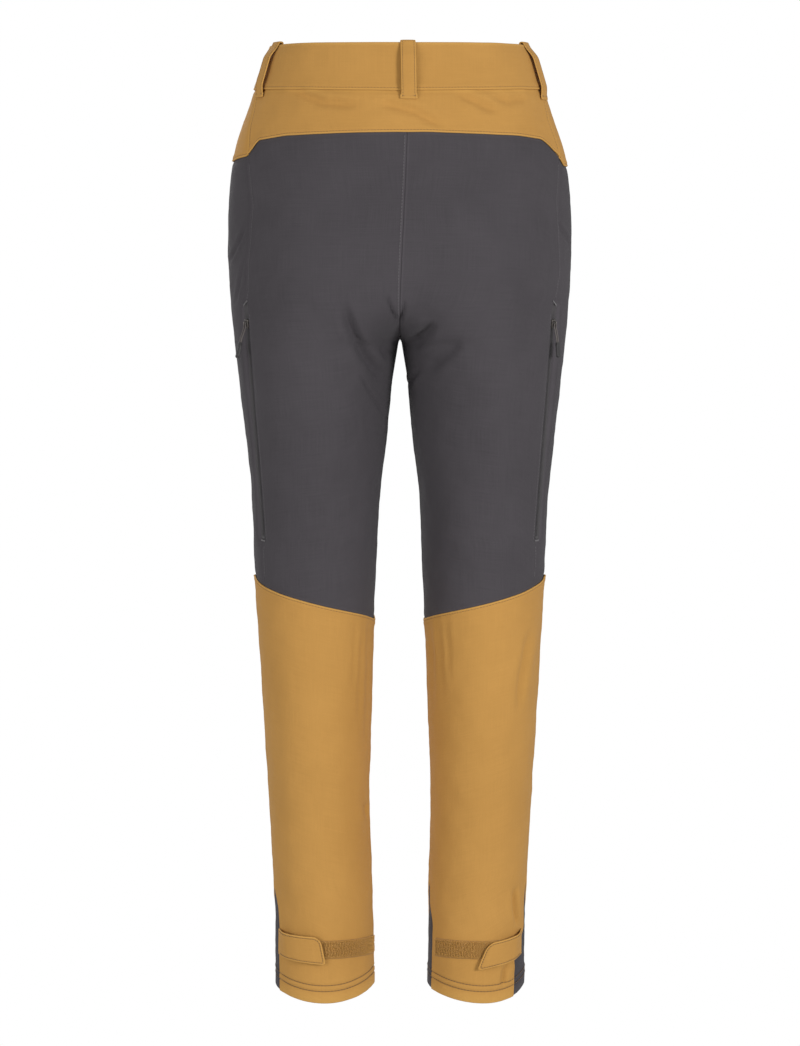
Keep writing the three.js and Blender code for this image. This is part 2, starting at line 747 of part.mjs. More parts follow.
function pullEnd() {
  const half = pullEndWidth / 2;
  const top = -cordLength - 0.4;
  const outline = new THREE.Shape();
  outline.moveTo(-half * 0.7, top);
  outline.lineTo(half * 0.7, top);
  outline.lineTo(half, top - 4);
  outline.lineTo(half, top - pullEndLength + 3);
  outline.quadraticCurveTo(half, top - pullEndLength, 0, top - pullEndLength);
  outline.quadraticCurveTo(-half, top - pullEndLength, -half, top - pullEndLength + 3);
  outline.lineTo(-half, top - 4);
  outline.closePath();
  const settings = { depth: pullEndThick, bevelEnabled: false, curveSegments: 4 };
  return tidy(new THREE.ExtrudeGeometry(outline, settings).translate(0, 0, cordStand - pullEndThick / 2));
}

// A zip laid straight between two points, with its slider closed at the top and its pull hanging.
function zip(label, place, top, bottom, outward, pull, hangs) {
  const up = top.clone().sub(bottom);
  const length = up.length();
  up.normalize();
  const out = outward.clone().addScaledVector(up, -outward.dot(up)).normalize();
  const across = new THREE.Vector3().crossVectors(up, out);
  const frame = new THREE.Group();
  frame.name = `frame_${label}${place}`;
  frame.quaternion.setFromRotationMatrix(new THREE.Matrix4().makeBasis(across, up, out));
  frame.position.copy(top);
  frame.add(mesh(`${label}_zip${place}`, zipTape(length), blackened));
  frame.add(mesh(`${label}_slider${place}`, zipSlider(), blackened, 0.45, 0.6));
  const swing = new THREE.Group();
  swing.name = `swing_${label}${place}`;
  swing.position.set(0, -sliderLength / 2, bridgeAxis);
  const down = new THREE.Vector3(0, 0, -1);
  const lean = hangs ? Math.max(0, Math.atan2(down.dot(out), -down.dot(up))) : 0;
  swing.rotation.x = -lean;
  for (const [name, geometry, colour] of pull) swing.add(mesh(`${name}${place}`, geometry, colour, 0.6));
  frame.add(swing);
  trousers.add(frame);
}

function zips() {
  for (const side of [1, -1]) {
    const place = `_${names[side]}`;
    const end = sideZipTop + sideZipLength;
    const middle = (sideZipTop + end) / 2;
    const cordPull = [['side_pull_cord', pullCord(), charcoal], ['side_pull_end', pullEnd(), blackened]];
    const sideHigh = offForm(side, sideSeam(sideZipTop), sideZipTop, -sideZipDepth);
    const sideLow = offForm(side, sideSeam(end), end, -sideZipDepth);
    zip('side', place, sideHigh, sideLow, outwardAt(side, sideSeam(middle), middle), cordPull, true);
    const handMid = (handZipTop + handZipBottom) / 2;
    const handHigh = offForm(side, frontSeam(handZipTop), handZipTop, -handZipDepth);
    const handLow = offForm(side, frontSeam(handZipBottom), handZipBottom, -handZipDepth);
    const handPull = [['hand_pull', flatPull(), blackened]];
    zip('hand', place, handHigh, handLow, outwardAt(side, frontSeam(handMid), handMid), handPull, false);
  }
  const at = (drop) => offForm(1, -section(drop).end, drop, -flyDepth).setX(0);
  const flyPull = [['fly_pull', flatPull(), metal]];
  zip('fly', '', at(flyTop), at(flyBottom), new THREE.Vector3(0, 1, 0), flyPull, false);
}

// Behind the fly and the zips: the fly shield, the hand-pocket bags and the mesh of the thigh zips.
function linings() {
  const shield = sheet(even(6), even(6), (u, v, w) => {
    const drop = flyShieldTop + (flyShieldBottom - flyShieldTop) * v;
    const x = (2 * u - 1) * flyShieldHalf * (1 - flyShieldTaper * v * v);
    const s = section(drop);
    const turn = Math.acos((Math.abs(x) - s.centre) / s.half);
    return offForm(Math.sign(x) || 1, -Math.min(turn, s.end), drop, -flyShieldDepth - w);
  });
  trousers.add(mesh('fly_shield', shield, ochre));
  const bagSpread = (drop) => ease((drop - handZipTop) / (handZipBottom - handZipTop));
  const behindSlider = sideZipDepth + plateTop + meshClear;
  const behindHandZip = handZipDepth + plateTop + bagClear;
  for (const side of [1, -1]) {
    const bag = panel(side, {
      from: (drop) => frontSeam(drop) + bagBack * degrees,
      to: (drop) => frontSeam(drop) - (bagFrontTop + (bagFrontLow - bagFrontTop) * bagSpread(drop)) * degrees,
      top: () => handZipTop - bagAbove,
      bottom: () => handZipBottom + bagBelow,
      columns: even(6),
      rows: even(6),
      stand: -behindHandZip,
      thick: bagThick,
    });
    trousers.add(mesh(`hand_pocket_bag_${names[side]}`, bag, charcoal));
    const backing = panel(side, {
      from: (drop) => sideSeam(drop) - meshReach * degrees,
      to: (drop) => sideSeam(drop) + meshReach * degrees,
      top: () => sideZipTop - meshReach,
      bottom: () => sideZipTop + sideZipLength + meshReach,
      columns: even(3),
      rows: even(6),
      stand: -behindSlider,
      thick: meshThick,
    });
    trousers.add(mesh(`vent_mesh_${names[side]}`, backing, blackened));
  }
}

// Waist tab: the overlapping end of the right front band, with the snap through it.
function waistTab() {
  const midDrop = waistbandHeight / 2;
  const surface = (x, drop, stand) => {
    const s = section(drop);
    return offForm(x < 0 ? -1 : 1, -Math.acos(Math.abs(x) / s.half), drop, stand);
  };
  const tab = sheet(even(8), even(2), (u, v, w) => {
    const x = tabRoot - (tabRoot + tabReach) * u;
    const corner = 1 - 0.22 * Math.pow(Math.max(0, (u - 0.8) / 0.2), 2);
    const drop = midDrop + (v - 0.5) * tabHeight * corner;
    const stand = 0.5 + (tabStand - 0.5) * ease(u / 0.2);
    return surface(x, drop, stand + tabThick * (1 - w));
  });
  const out = new THREE.Vector3(0, 1, 0);
  const centre = surface(-snapPlace, midDrop, 0);
  const face = outwardAt(-1, -Math.acos(snapPlace / section(midDrop).half), midDrop);
  const turned = new THREE.Quaternion().setFromUnitVectors(out, face);
  const place = (piece) => {
    piece.position.copy(centre);
    piece.quaternion.copy(turned);
    return piece;
  };
  const postRadius = 1.4;
  const drill = new THREE.CylinderGeometry(postRadius + studClear, postRadius + studClear, 12, 16);
  drill.applyQuaternion(turned).translate(centre.x, centre.y, centre.z);
  trousers.add(mesh('waist_tab', geometryOf(solidOf(tab).subtract(solidOf(drill))), ochre));
  const turnedShape = (points) => {
    const profile = points.map(([r, h]) => new THREE.Vector2(r, h));
    return tidy(new THREE.LatheGeometry(profile, 14));
  };
  const tabOuter = tabStand + tabThick;
  const ringHole = studRadius + studClear;
  const cap = [
    [0, tabStand - 0.2], [postRadius, tabStand - 0.2], [postRadius, tabOuter + layerGap / 2],
    [snapRadius, tabOuter + layerGap / 2], [snapRadius, tabOuter + 1.2], [snapRadius * 0.7, tabOuter + 1.9],
    [0, tabOuter + 2.1],
  ];
  trousers.add(place(mesh('snap_cap', turnedShape(cap), metal, 0.35, 0.9)));
  const socket = [
    [ringHole, 0.7], [4.6, 0.7], [4.6, tabStand - 0.35], [ringHole, tabStand - 0.35], [ringHole, 0.7],
  ];
  trousers.add(place(mesh('snap_socket', turnedShape(socket), metal, 0.35, 0.9)));
  const stud = [
    [0, 0.1], [4.4, 0.1], [4.4, 0.4], [studRadius - 0.4, 0.4], [studRadius, 1.2],
    [studRadius - 0.3, 1.7], [0, 1.8],
  ];
  trousers.add(place(mesh('snap_stud', turnedShape(stud), metal, 0.35, 0.9)));
}

// Ankle tab: sewn at its outer end, its hook pad pressed on the loop patch.
function ankleTabs() {
  const patchStand = layerGap + patchThick;
  const padStand = patchStand + layerGap;
  const tabStandAtTip = padStand + padThick + layerGap;
  for (const side of [1, -1]) {
    const root = ankleTabRootAngle * degrees;
    const tip = ankleTabTipAngle * degrees;
    const droop = (angle) => ankleTabDroop * ((angle - root) / (tip - root)) - ankleTabDroop / 2;
    const strip = (from, to, height, low, thick, count, taper) => sheet(even(count), even(2), (u, v, w) => {
      const angle = degrees * (from + (to - from) * u);
      const mid = ankleTabMid + (taper ? droop(angle) : 0);
      const rounding = taper ? 0.25 * Math.pow(Math.max(0, (u - 0.85) / 0.15), 2) : 0;
      const drop = mid + (v - 0.5) * height * (1 - rounding);
      const stand = taper ? layerGap + (low - layerGap) * ease(u / 0.35) : low;
      return offForm(side, angle, drop, stand + thick * (1 - w));
    });
    const patch = strip(patchStart, patchEnd, patchHeight, layerGap, patchThick, 12, false);
    trousers.add(mesh(`loop_patch_${names[side]}`, patch, ochre));
    const pad = strip(patchStart + 2, ankleTabTipAngle - 4, patchHeight - 4, padStand, padThick, 4, false);
    trousers.add(mesh(`tab_hook_pad_${names[side]}`, pad, ochre));
    const tab = strip(ankleTabRootAngle, ankleTabTipAngle, ankleTabHeight, tabStandAtTip, cloth, 10, true);
    trousers.add(mesh(`ankle_tab_${names[side]}`, tab, ochre));
  }
}

waistband();
yokes();
thighs();
crotchGusset();
lowerLegs();
const backLoopAngle = Math.PI / 2 - angleOf(backLoopShift, Math.PI / 2, waistbandHeight / 2);
beltLoop('belt_loop_back', 1, backLoopAngle);
for (const side of [1, -1]) {
  beltLoop(`belt_loop_side_${names[side]}`, side, sideLoopAngle * degrees);
  beltLoop(`belt_loop_front_${names[side]}`, side, -frontLoopAngle * degrees);
}
zips();
linings();
waistTab();
ankleTabs();

export default trousers;
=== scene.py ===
import math

import bmesh
import bpy
import numpy as np
from mathutils import Matrix, Vector


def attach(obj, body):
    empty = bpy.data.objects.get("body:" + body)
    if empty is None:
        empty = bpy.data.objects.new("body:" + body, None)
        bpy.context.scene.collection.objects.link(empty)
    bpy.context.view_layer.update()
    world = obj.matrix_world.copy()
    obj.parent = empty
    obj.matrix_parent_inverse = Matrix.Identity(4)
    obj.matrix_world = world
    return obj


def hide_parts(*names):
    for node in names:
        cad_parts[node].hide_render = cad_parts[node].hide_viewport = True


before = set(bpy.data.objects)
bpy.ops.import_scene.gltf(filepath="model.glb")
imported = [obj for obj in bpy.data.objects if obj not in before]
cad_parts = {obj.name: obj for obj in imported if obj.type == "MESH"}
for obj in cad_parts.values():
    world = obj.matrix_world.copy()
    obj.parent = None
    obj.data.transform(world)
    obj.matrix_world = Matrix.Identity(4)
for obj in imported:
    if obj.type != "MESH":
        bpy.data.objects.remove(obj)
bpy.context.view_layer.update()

# The studio: plain white all round, with large soft panels above and to the right.
# The camera stands behind the wearer, a little below the waist.
camera_place = Vector((0.0, -3.5, -0.2))
camera_aim = Vector((0.0, 0.0, -0.515))
picture_height = 1.1374

studio = bpy.context.scene
studio.view_settings.view_transform = "Standard"
studio.view_settings.look = "None"
camera_data = bpy.data.cameras.new("studio_camera")
camera_data.sensor_width = 36
camera_data.lens = camera_data.sensor_width * (camera_aim - camera_place).length / picture_height
camera = bpy.data.objects.new("studio_camera", camera_data)
camera.location = camera_place
camera.rotation_euler = (camera_aim - camera_place).to_track_quat("-Z", "Y").to_euler()
studio.collection.objects.link(camera)
studio.camera = camera


def add_node(tree, kind, settings=None, **links):
    """A shader node; a link is a socket, or a value for the named input."""
    node = tree.nodes.new(kind)
    for key, value in (settings or {}).items():
        setattr(node, key, value)
    for key, value in links.items():
        socket = node.inputs[int(key[1:])] if key[1:].isdigit() else node.inputs[key.replace("_", " ")]
        if isinstance(value, bpy.types.NodeSocket):
            tree.links.new(value, socket)
        else:
            socket.default_value = value
    return node


white_air = bpy.data.worlds.new("white_air")
white_air.use_nodes = True
air = white_air.node_tree
seen = add_node(air, "ShaderNodeLightPath").outputs["Is Camera Ray"]
strength = add_node(air, "ShaderNodeMapRange", None, _0=seen, _3=0.52, _4=1.0).outputs[0]
air.nodes["Background"].inputs["Color"].default_value = (1.0, 1.0, 1.0, 1)
air.links.new(strength, air.nodes["Background"].inputs["Strength"])
studio.world = white_air


def soft_panel(name, place, aim, width, power):
    panel_data = bpy.data.lights.new(name, "AREA")
    panel_data.shape = "SQUARE"
    panel_data.size = width
    panel_data.energy = power
    panel = bpy.data.objects.new(name, panel_data)
    panel.location = place
    panel.rotation_euler = (Vector(aim) - Vector(place)).to_track_quat("-Z", "Y").to_euler()
    studio.collection.objects.link(panel)


soft_panel("key_panel", (2.3, -2.7, 0.0), (0, 0, -0.62), 0.9, 83)
soft_panel("fill_panel", (-2.2, -2.4, -0.5), (0, 0, -0.62), 1.6, 42)
soft_panel("front_panel_light", (-0.8, 2.6, 0.8), (0, 0, -0.5), 1.4, 42)


def new_piece(name, bm, smooth=True):
    mesh = bpy.data.meshes.new(name)
    bm.to_mesh(mesh)
    bm.free()
    piece = bpy.data.objects.new(name, mesh)
    studio.collection.objects.link(piece)
    mesh.polygons.foreach_set("use_smooth", [smooth] * len(mesh.polygons))
    return piece


# Seat and thigh backs: stretch cloth cut in one piece from the yoke to the knee.
# They are sewn to each other down the middle of the seat and lapped over the side panels.
rise = 0.316
inseam = 0.704
outseam = rise + inseam
cleft_start = 0.100
cleft_round = 0.030

# Drop below the waist edge, outer half width, half gap between the legs, depth behind, depth before.
body_rows = [
    (0.0, 0.143, 0.0, 0.102, 0.098),
    (0.15 * rise, 0.1575, 0.0, 0.106, 0.102),
    (0.3 * rise, 0.172, 0.0, 0.113, 0.106),
    (0.48 * rise, 0.18325, 0.0, 0.124, 0.110),
    (0.68 * rise, 0.187, 0.0, 0.132, 0.112),
    (0.87 * rise, 0.1825, 0.0, 0.1315, 0.108),
    (rise, 0.178, 0.0, 0.1245, 0.103),
    (rise + 0.09 * inseam, 0.1714, 0.0100, 0.111, 0.097),
    (rise + 0.17 * inseam, 0.1647, 0.0163, 0.0997, 0.092),
    (rise + 0.25 * inseam, 0.1598, 0.0224, 0.0885, 0.087),
    (rise + 0.33 * inseam, 0.1576, 0.0246, 0.0785, 0.082),
    (rise + 0.4 * inseam, 0.155, 0.0272, 0.073, 0.077),
    (rise + 0.56 * inseam, 0.149, 0.0316, 0.073, 0.065),
    (rise + 0.71 * inseam, 0.143, 0.0348, 0.068, 0.058),
    (rise + 0.86 * inseam, 0.1383, 0.0316, 0.060, 0.058),
    (outseam, 0.1365, 0.0295, 0.058, 0.060),
]
leg_rows = [row for row in body_rows if row[0] >= rise]


def smooth_through(rows, column, drop):
    """A smooth curve through one column of rows, read at each drop."""
    at = np.array([row[0] for row in rows])
    value = np.array([row[column] for row in rows])
    slope = np.empty(len(rows))
    slope[1:-1] = (value[2:] - value[:-2]) / (at[2:] - at[:-2])
    slope[0] = (value[1] - value[0]) / (at[1] - at[0])
    slope[-1] = (value[-1] - value[-2]) / (at[-1] - at[-2])
    k = np.clip(np.searchsorted(at, drop), 1, len(rows) - 1)
    span = at[k] - at[k - 1]
    t = (drop - at[k - 1]) / span
    rest = 1 - t
    ends = value[k - 1] * (1 + 2 * t) * rest * rest + value[k] * t * t * (3 - 2 * t)
    return ends + slope[k - 1] * span * t * rest * rest - slope[k] * span * t * t * rest


def section(drop):
    """Centre and half width across, turn at the middle plane, and depths, of one leg's section."""
    outer = smooth_through(body_rows, 1, drop)
    gap = np.where(drop > rise, smooth_through(leg_rows, 2, np.maximum(drop, rise)), 0)
    share = np.clip((drop - cleft_start) / (rise - cleft_start), 0, 1)
    centre = np.where(drop > rise, (outer + gap) / 2, share * share * outer / 2)
    half = outer - centre
    end = np.where(drop >= rise, math.pi, np.arccos(np.clip(-centre / half, -1, 1)))
    return centre, half, end, smooth_through(body_rows, 3, drop), smooth_through(body_rows, 4, drop)


def ease(t):
    t = np.clip(t, 0, 1)
    return t * t * (3 - 2 * t)


def on_body(side, angle, drop):
    """Places on the body's form: turn 0 is the outer side, positive turns go round the back."""
    drop = np.asarray(drop, float)
    angle = np.asarray(angle, float)
    centre, half, end, back, front = section(drop)
    over = (drop < rise) & (np.abs(angle) > end)
    turn = np.where(over, np.sign(angle) * (2 * end - np.abs(angle)), angle)
    sine = np.sin(turn)
    depth = np.where(sine >= 0, back, front)
    x = np.where(over, -side, side) * (centre + half * np.cos(turn))
    steep = np.minimum(depth * np.abs(np.cos(end)) / (half * np.maximum(np.sin(end), 0.05)), 0.9)
    near_cleft = np.maximum(cleft_round - np.abs(x), 0) ** 2 / (2 * cleft_round)
    bridged = steep * near_cleft * ease((rise - drop) / 0.05)
    y = -depth * sine - np.sign(sine) * bridged
    return np.stack(np.broadcast_arrays(x, y, -drop), axis=-1)


def outward_of(side, angle, drop):
    turn_step, drop_step = 0.012, 0.0015
    along = on_body(side, angle + turn_step, drop) - on_body(side, angle - turn_step, drop)
    down = on_body(side, angle, drop + drop_step) - on_body(side, angle, drop - drop_step)
    outward = np.cross(along, down) * side
    return outward / np.linalg.norm(outward, axis=-1, keepdims=True)


def stride(angle, drop):
    """Metres of cloth per radian of turn."""
    _, half, _, back, front = section(np.asarray(drop, float))
    depth = np.where(np.sin(angle) >= 0, back, front)
    return np.hypot(half * np.sin(angle), depth * np.cos(angle))


degrees = math.pi / 180
sides = {"right": 1, "left": -1}
side_zip_top = 0.292
side_zip_end = side_zip_top + 0.236
hand_zip_top, hand_zip_bottom = 0.138, 0.260
hand_zip_turns = (46 * degrees, 28 * degrees)
zip_lip = 0.0056
garage = 0.015
gusset_half, gusset_tip, gusset_end = 0.042, 0.005, 0.400


def side_seam(drop, side=-1):
    """The side seam swings back over the hip; above the zip the right one keeps a little further forward."""
    forward = 0.11 * ease((drop - 0.075) / 0.04) * ease((0.288 - drop) / 0.05) if side > 0 else 0
    return degrees * (6 + 26.5 * np.clip(drop / 0.170, 0, 1)) - forward


hand_zip_drops = (hand_zip_top, hand_zip_bottom)
hand_zip_ends = [on_body(1, -turn, drop) for turn, drop in zip(hand_zip_turns, hand_zip_drops)]
seam_drops = np.linspace(hand_zip_top, hand_zip_bottom, 25)
seam_turns = []
for drop in seam_drops:
    share = (drop - hand_zip_top) / (hand_zip_bottom - hand_zip_top)
    chord = hand_zip_ends[0] + (hand_zip_ends[1] - hand_zip_ends[0]) * share
    near, far = hand_zip_turns[1] - 20 * degrees, hand_zip_turns[0] + 20 * degrees
    for _ in range(24):
        turn = (near + far) / 2
        spot = on_body(1, -turn, drop)
        if np.dot(spot - chord, on_body(1, -turn - 0.001, drop) - spot) > 0:
            far = turn
        else:
            near = turn
    seam_turns.append(-turn)


def front_seam(drop):
    return np.interp(drop, seam_drops, seam_turns)


def off_body(side, angle, drop, stand):
    return on_body(side, angle, drop) + stand * outward_of(side, angle, drop)


def zip_frame(top, bottom, outward):
    """Where a straight zip lies: +Y up it, +Z out of the cloth, from its top end."""
    up = Vector(top) - Vector(bottom)
    length = up.length
    up.normalize()
    out = Vector(outward)
    out = (out - out.dot(up) * up).normalized()
    turn = Matrix((up.cross(out), up, out)).transposed().to_4x4()
    return Matrix.Translation(Vector(top)) @ turn, length


frames = {}
for label, side in sides.items():
    for kind, line, top, bottom, sunk in (("side", side_seam, side_zip_top, side_zip_end, 0.0026),
                                          ("hand", front_seam, hand_zip_top, hand_zip_bottom, 0.0006)):
        middle = (top + bottom) / 2
        frames[f"{kind}_{label}"] = zip_frame(off_body(side, line(top), top, -sunk),
                                              off_body(side, line(bottom), bottom, -sunk),
                                              outward_of(side, line(middle), middle))


# Pressed folds and drag lines, each down the middle of its hollow: (x, drop) points in millimetres,
# half width and depth in millimetres, and whether it is on the back (1) or the front (-1).
folds = [
    ([(-123, 50), (-105, 54), (-93, 60), (-80, 65), (-54, 67), (-34, 63)], 4.5, 1.5, 1),
    ([(-34, 69), (-14, 67), (1, 70), (17, 75), (37, 86), (55, 94)], 5.0, 1.4, 1),
    ([(56, 54), (76, 62), (93, 70), (109, 72)], 4.5, 1.4, 1),
    ([(93, 58), (115, 62), (139, 56)], 4.5, 1.2, 1),
    ([(-16, 263), (-9, 281), (-2, 295)], 2.2, 1.6, 1),
    ([(6, 269), (3, 282), (-1, 295)], 2.0, 1.4, 1),
    ([(-63, 266), (-57, 282), (-50, 301), (-41, 322), (-27, 344), (-13, 362)], 5.5, 3.0, 1),
    ([(-46, 345), (-35, 363), (-23, 383), (-14, 401)], 1.6, 1.6, 1),
    ([(38, 294), (29, 303), (18, 316), (11, 324)], 6.0, 3.2, 1),
    ([(22, 344), (20, 347), (13, 357), (10, 365)], 2.2, 1.8, 1),
    ([(66, 308), (59, 318), (38, 336), (26, 347)], 6.0, 1.6, 1),
    ([(-21, 318), (-15, 327), (-8, 331)], 5.0, 1.6, 1),
    ([(-46, 606), (-49, 644), (-51, 697)], 2.4, 0.5, 1),
    ([(-40, 608), (-42, 655), (-45, 740)], 2.8, 0.6, 1),
    ([(-34, 610), (-35, 676), (-37, 761)], 2.8, 0.5, 1),
    ([(32, 608), (35, 655), (36, 719)], 2.8, 0.6, 1),
    ([(39, 607), (44, 655), (46, 697)], 2.4, 0.5, 1),
    ([(49, 604), (52, 644), (53, 687)], 2.4, 0.45, 1),
    ([(-39, 817), (-36, 828), (-31, 842)], 3.0, 1.4, 1),
    ([(142, 620), (135, 655), (130, 687), (127, 721)], 4.0, 1.6, 1),
    ([(123, 905), (124, 929), (127, 955)], 2.4, 2.0, 1),
    ([(119, 988), (113, 1000), (111, 1018)], 3.0, 1.6, 1),
    ([(134, 231), (136, 303), (131, 398), (125, 504)], 16, 1.2, 1),
    ([(-165, 193), (-175, 214), (-186, 236)], 1.7, 1.1, 1),
    ([(-165, 221), (-171, 250), (-176, 280)], 1.5, 0.9, 1),
    ([(167, 187), (173, 198), (178, 206), (183, 215)], 1.7, 1.1, 1),
    ([(-30, 330), (-60, 352), (-88, 366)], 6.0, 2.4, -1),
    ([(30, 330), (60, 352), (88, 366)], 6.0, 2.4, -1),
    ([(-24, 300), (-52, 306), (-84, 300)], 6.0, 1.8, -1),
    ([(24, 300), (52, 306), (84, 300)], 6.0, 1.8, -1),
    ([(-50, 560), (-85, 575), (-120, 566)], 6.0, 1.4, -1),
    ([(50, 566), (85, 580), (120, 570)], 6.0, 1.4, -1),
    ([(-60, 930), (-90, 945), (-118, 938)], 5.0, 1.6, -1),
    ([(60, 925), (92, 944), (116, 936)], 5.0, 1.6, -1),
]


def ripple(place, seed, waves, length, stretch):
    """Smooth unevenness from a few crossing waves about length metres apart, longer down the cloth."""
    draw = np.random.default_rng(seed)
    total = np.zeros(len(place))
    for _ in range(waves):
        direction = draw.normal(size=3) * (1, 1, stretch)
        direction *= 2 * math.pi / (length * (0.6 + 0.9 * draw.random())) / np.linalg.norm(direction)
        total += np.sin(place @ direction + 2 * math.pi * draw.random())
    return total / math.sqrt(waves)


def hip_ease(place, outward):
    """How much closer than the form the cloth lies at the sides of the waist and hip."""
    drop = -place[..., 2]
    closer = 0.0030 * np.exp(-((drop - 0.02) / 0.045) ** 2)
    closer += 0.0025 * np.exp(-((drop - 0.072) / 0.026) ** 2)
    closer += 0.0024 * np.exp(-((drop - 0.20) / 0.055) ** 2) + 0.0040 * np.exp(-(drop / 0.010) ** 2)
    return closer * outward[..., 0] ** 2


def draped(place, outward):
    """How far the cloth stands off the form: its folds, slack and fine crinkle, in metres."""
    stand = 0.00075 * ripple(place, 3, 9, 0.11, 0.35)
    stand += 0.00028 * ripple(place, 8, 12, 0.034, 0.5)
    stand += 0.00010 * ripple(place, 21, 12, 0.013, 0.8)
    facing = -outward[:, 1]
    for points, width, depth, face in folds:
        points = np.array(points, float) / 1000
        width, depth = 0.85 * width / 1000, depth / 1000
        near = (np.abs(place[:, 0] - points[:, 0].mean()) < np.ptp(points[:, 0]) / 2 + 5 * width)
        near &= (np.abs(-place[:, 2] - points[:, 1].mean()) < np.ptp(points[:, 1]) / 2 + 5 * width)
        near &= face * facing > 0.1
        if not near.any():
            continue
        spot = np.stack([place[near, 0], -place[near, 2]], axis=-1)
        best = np.full(len(spot), 9.0)
        share = np.zeros(len(spot))
        signed = np.zeros(len(spot))
        legs = np.linalg.norm(np.diff(points, axis=0), axis=1)
        run = np.concatenate([[0], np.cumsum(legs)])
        for k in range(len(points) - 1):
            step = (points[k + 1] - points[k]) / legs[k]
            t = np.clip((spot - points[k]) @ step, 0, legs[k])
            gap = spot - points[k] - t[:, None] * step
            apart = np.linalg.norm(gap, axis=1)
            closer = apart < best
            best = np.where(closer, apart, best)
            share = np.where(closer, (run[k] + t) / run[-1], share)
            signed = np.where(closer, gap[:, 0] * step[1] - gap[:, 1] * step[0], signed)
        side_of = np.sign(signed) * best / width
        hollow = np.exp(-side_of ** 2) - 0.45 * np.exp(-((side_of - 2.1) / 1.3) ** 2)
        hollow -= 0.25 * np.exp(-((side_of + 2.3) / 1.5) ** 2)
        taper = ease(share / 0.3) * ease((1 - share) / 0.3)
        stand[near] -= 2.1 * depth * hollow * taper
    stand -= hip_ease(place, outward)
    for label, (matrix, length) in frames.items():
        local = (place - np.array(matrix.translation)) @ np.array(matrix.to_3x3())
        near = ease((0.028 - local[:, 1]) / 0.012) * ease((length + 0.014 + local[:, 1]) / 0.012)
        near *= np.exp(-(np.maximum(np.abs(local[:, 0]) - 0.0060, 0) / 0.0065) ** 2)
        near *= np.abs(local[:, 2]) < 0.02
        stand = stand * (1 - near) + (0.0009 - local[:, 2]) * near
    return stand


# Edge finishes: how far in from the seam line each row of the cloth lies, and how it stands there.
lapped = [(0, -0.0008), (0.0003, 0.0003), (0.0010, 0.0008), (0.0018, 0.0006), (0.0025, 0.0001),
          (0.0032, 0.0005), (0.0048, 0.0006), (0.0080, 0.0001)]
tucked = [(-0.0060, -0.0013), (-0.0012, -0.0013), (0.0008, -0.0009), (0.0034, -0.0002)]
butted = [(0, -0.0009), (0.0006, -0.0003), (0.0016, 0.0001), (0.0030, 0.0)]
folded = [(0, -0.0010), (0.0004, -0.0002), (0.0010, 0.0001)]
hemmed = [(0, -0.0010), (0.0004, -0.0002), (0.0012, 0.0002), (0.0122, 0.0004), (0.0135, -0.0006),
          (0.0148, 0.0004), (0.0187, 0.0004), (0.0200, -0.0006), (0.0213, 0.0003), (0.0240, 0.0)]


def laid_out(index, count, low, high, low_rim, high_rim, low_scale, high_scale):
    """Where each row or column goes between two edges, the rim rows at their own distances."""
    a, b = len(low_rim) - 1, len(high_rim) - 1
    first = low + low_rim[-1][0] / low_scale
    last = high - high_rim[-1][0] / high_scale
    spot = first + (last - first) * (index - a) / (count - a - b)
    for k in range(a):
        spot = np.where(index == k, low + low_rim[k][0] / low_scale, spot)
    for k in range(b):
        spot = np.where(index == count - k, high - high_rim[k][0] / high_scale, spot)
    return spot


def rim_stand(index, count, low_rim, high_rim):
    stand = np.zeros(len(index))
    for k, (_, lift) in enumerate(low_rim):
        stand = np.where(index == k, stand + lift, stand)
    for k, (_, lift) in enumerate(high_rim):
        stand = np.where(index == count - k, stand + lift, stand)
    return stand


def cloth_grid(name, columns, rows, lay):
    """A sheet of cloth; lay(column, row) gives every crossing's place, stand-off and outward direction."""
    bm = bmesh.new()
    bmesh.ops.create_grid(bm, x_segments=columns, y_segments=rows, size=0.5)
    flat = np.array([v.co for v in bm.verts])
    columns = len(np.unique(flat[:, 0].round(6))) - 1
    rows = len(np.unique(flat[:, 1].round(6))) - 1
    column = np.rint((flat[:, 0] + 0.5) * columns).astype(int)
    row = np.rint((0.5 - flat[:, 1]) * rows).astype(int)
    bare, stand, outward = lay(column, row, columns, rows)
    place = bare + outward * stand[:, None]
    net = np.zeros((rows + 1, columns + 1, 3))
    net[row, column] = bare
    across = np.linalg.norm(np.diff(net, axis=1), axis=2).cumsum(axis=1)
    across = np.concatenate([np.zeros((rows + 1, 1)), across], axis=1)
    down = np.linalg.norm(np.diff(net, axis=0), axis=2).cumsum(axis=0)
    down = np.concatenate([np.zeros((1, columns + 1)), down], axis=0)
    size = (float(across[:, -1].max()), float(down[-1].max()))
    across = across - across[:, columns // 2][:, None]
    for v, spot in zip(bm.verts, place):
        v.co = spot
    weft = bm.loops.layers.uv.new("threads")
    bm.verts.ensure_lookup_table()
    for face in bm.faces:
        for corner in face.loops:
            k = corner.vert.index
            corner[weft].uv = (across[row[k], column[k]], -down[row[k], column[k]])
    bm.normal_update()
    bm.faces.ensure_lookup_table()
    middle = bm.faces[len(bm.faces) // 2]
    if middle.normal.dot(Vector(outward[middle.verts[0].index])) < 0:
        bmesh.ops.reverse_faces(bm, faces=bm.faces)
    area = sum(face.calc_area() for face in bm.faces)
    near_edge = (column <= 2) | (column >= columns - 2) | (row <= 2) | (row >= rows - 2)
    piece = new_piece(name, bm)
    # Mask for the painted highlight that the cloth finishes lay on the fold edges: 1 on the outermost three
    # rows and columns.
    edge = piece.data.attributes.new("fold_edge", "FLOAT", "POINT")
    edge.data.foreach_set("value", near_edge.astype(float))
    return piece, size, area


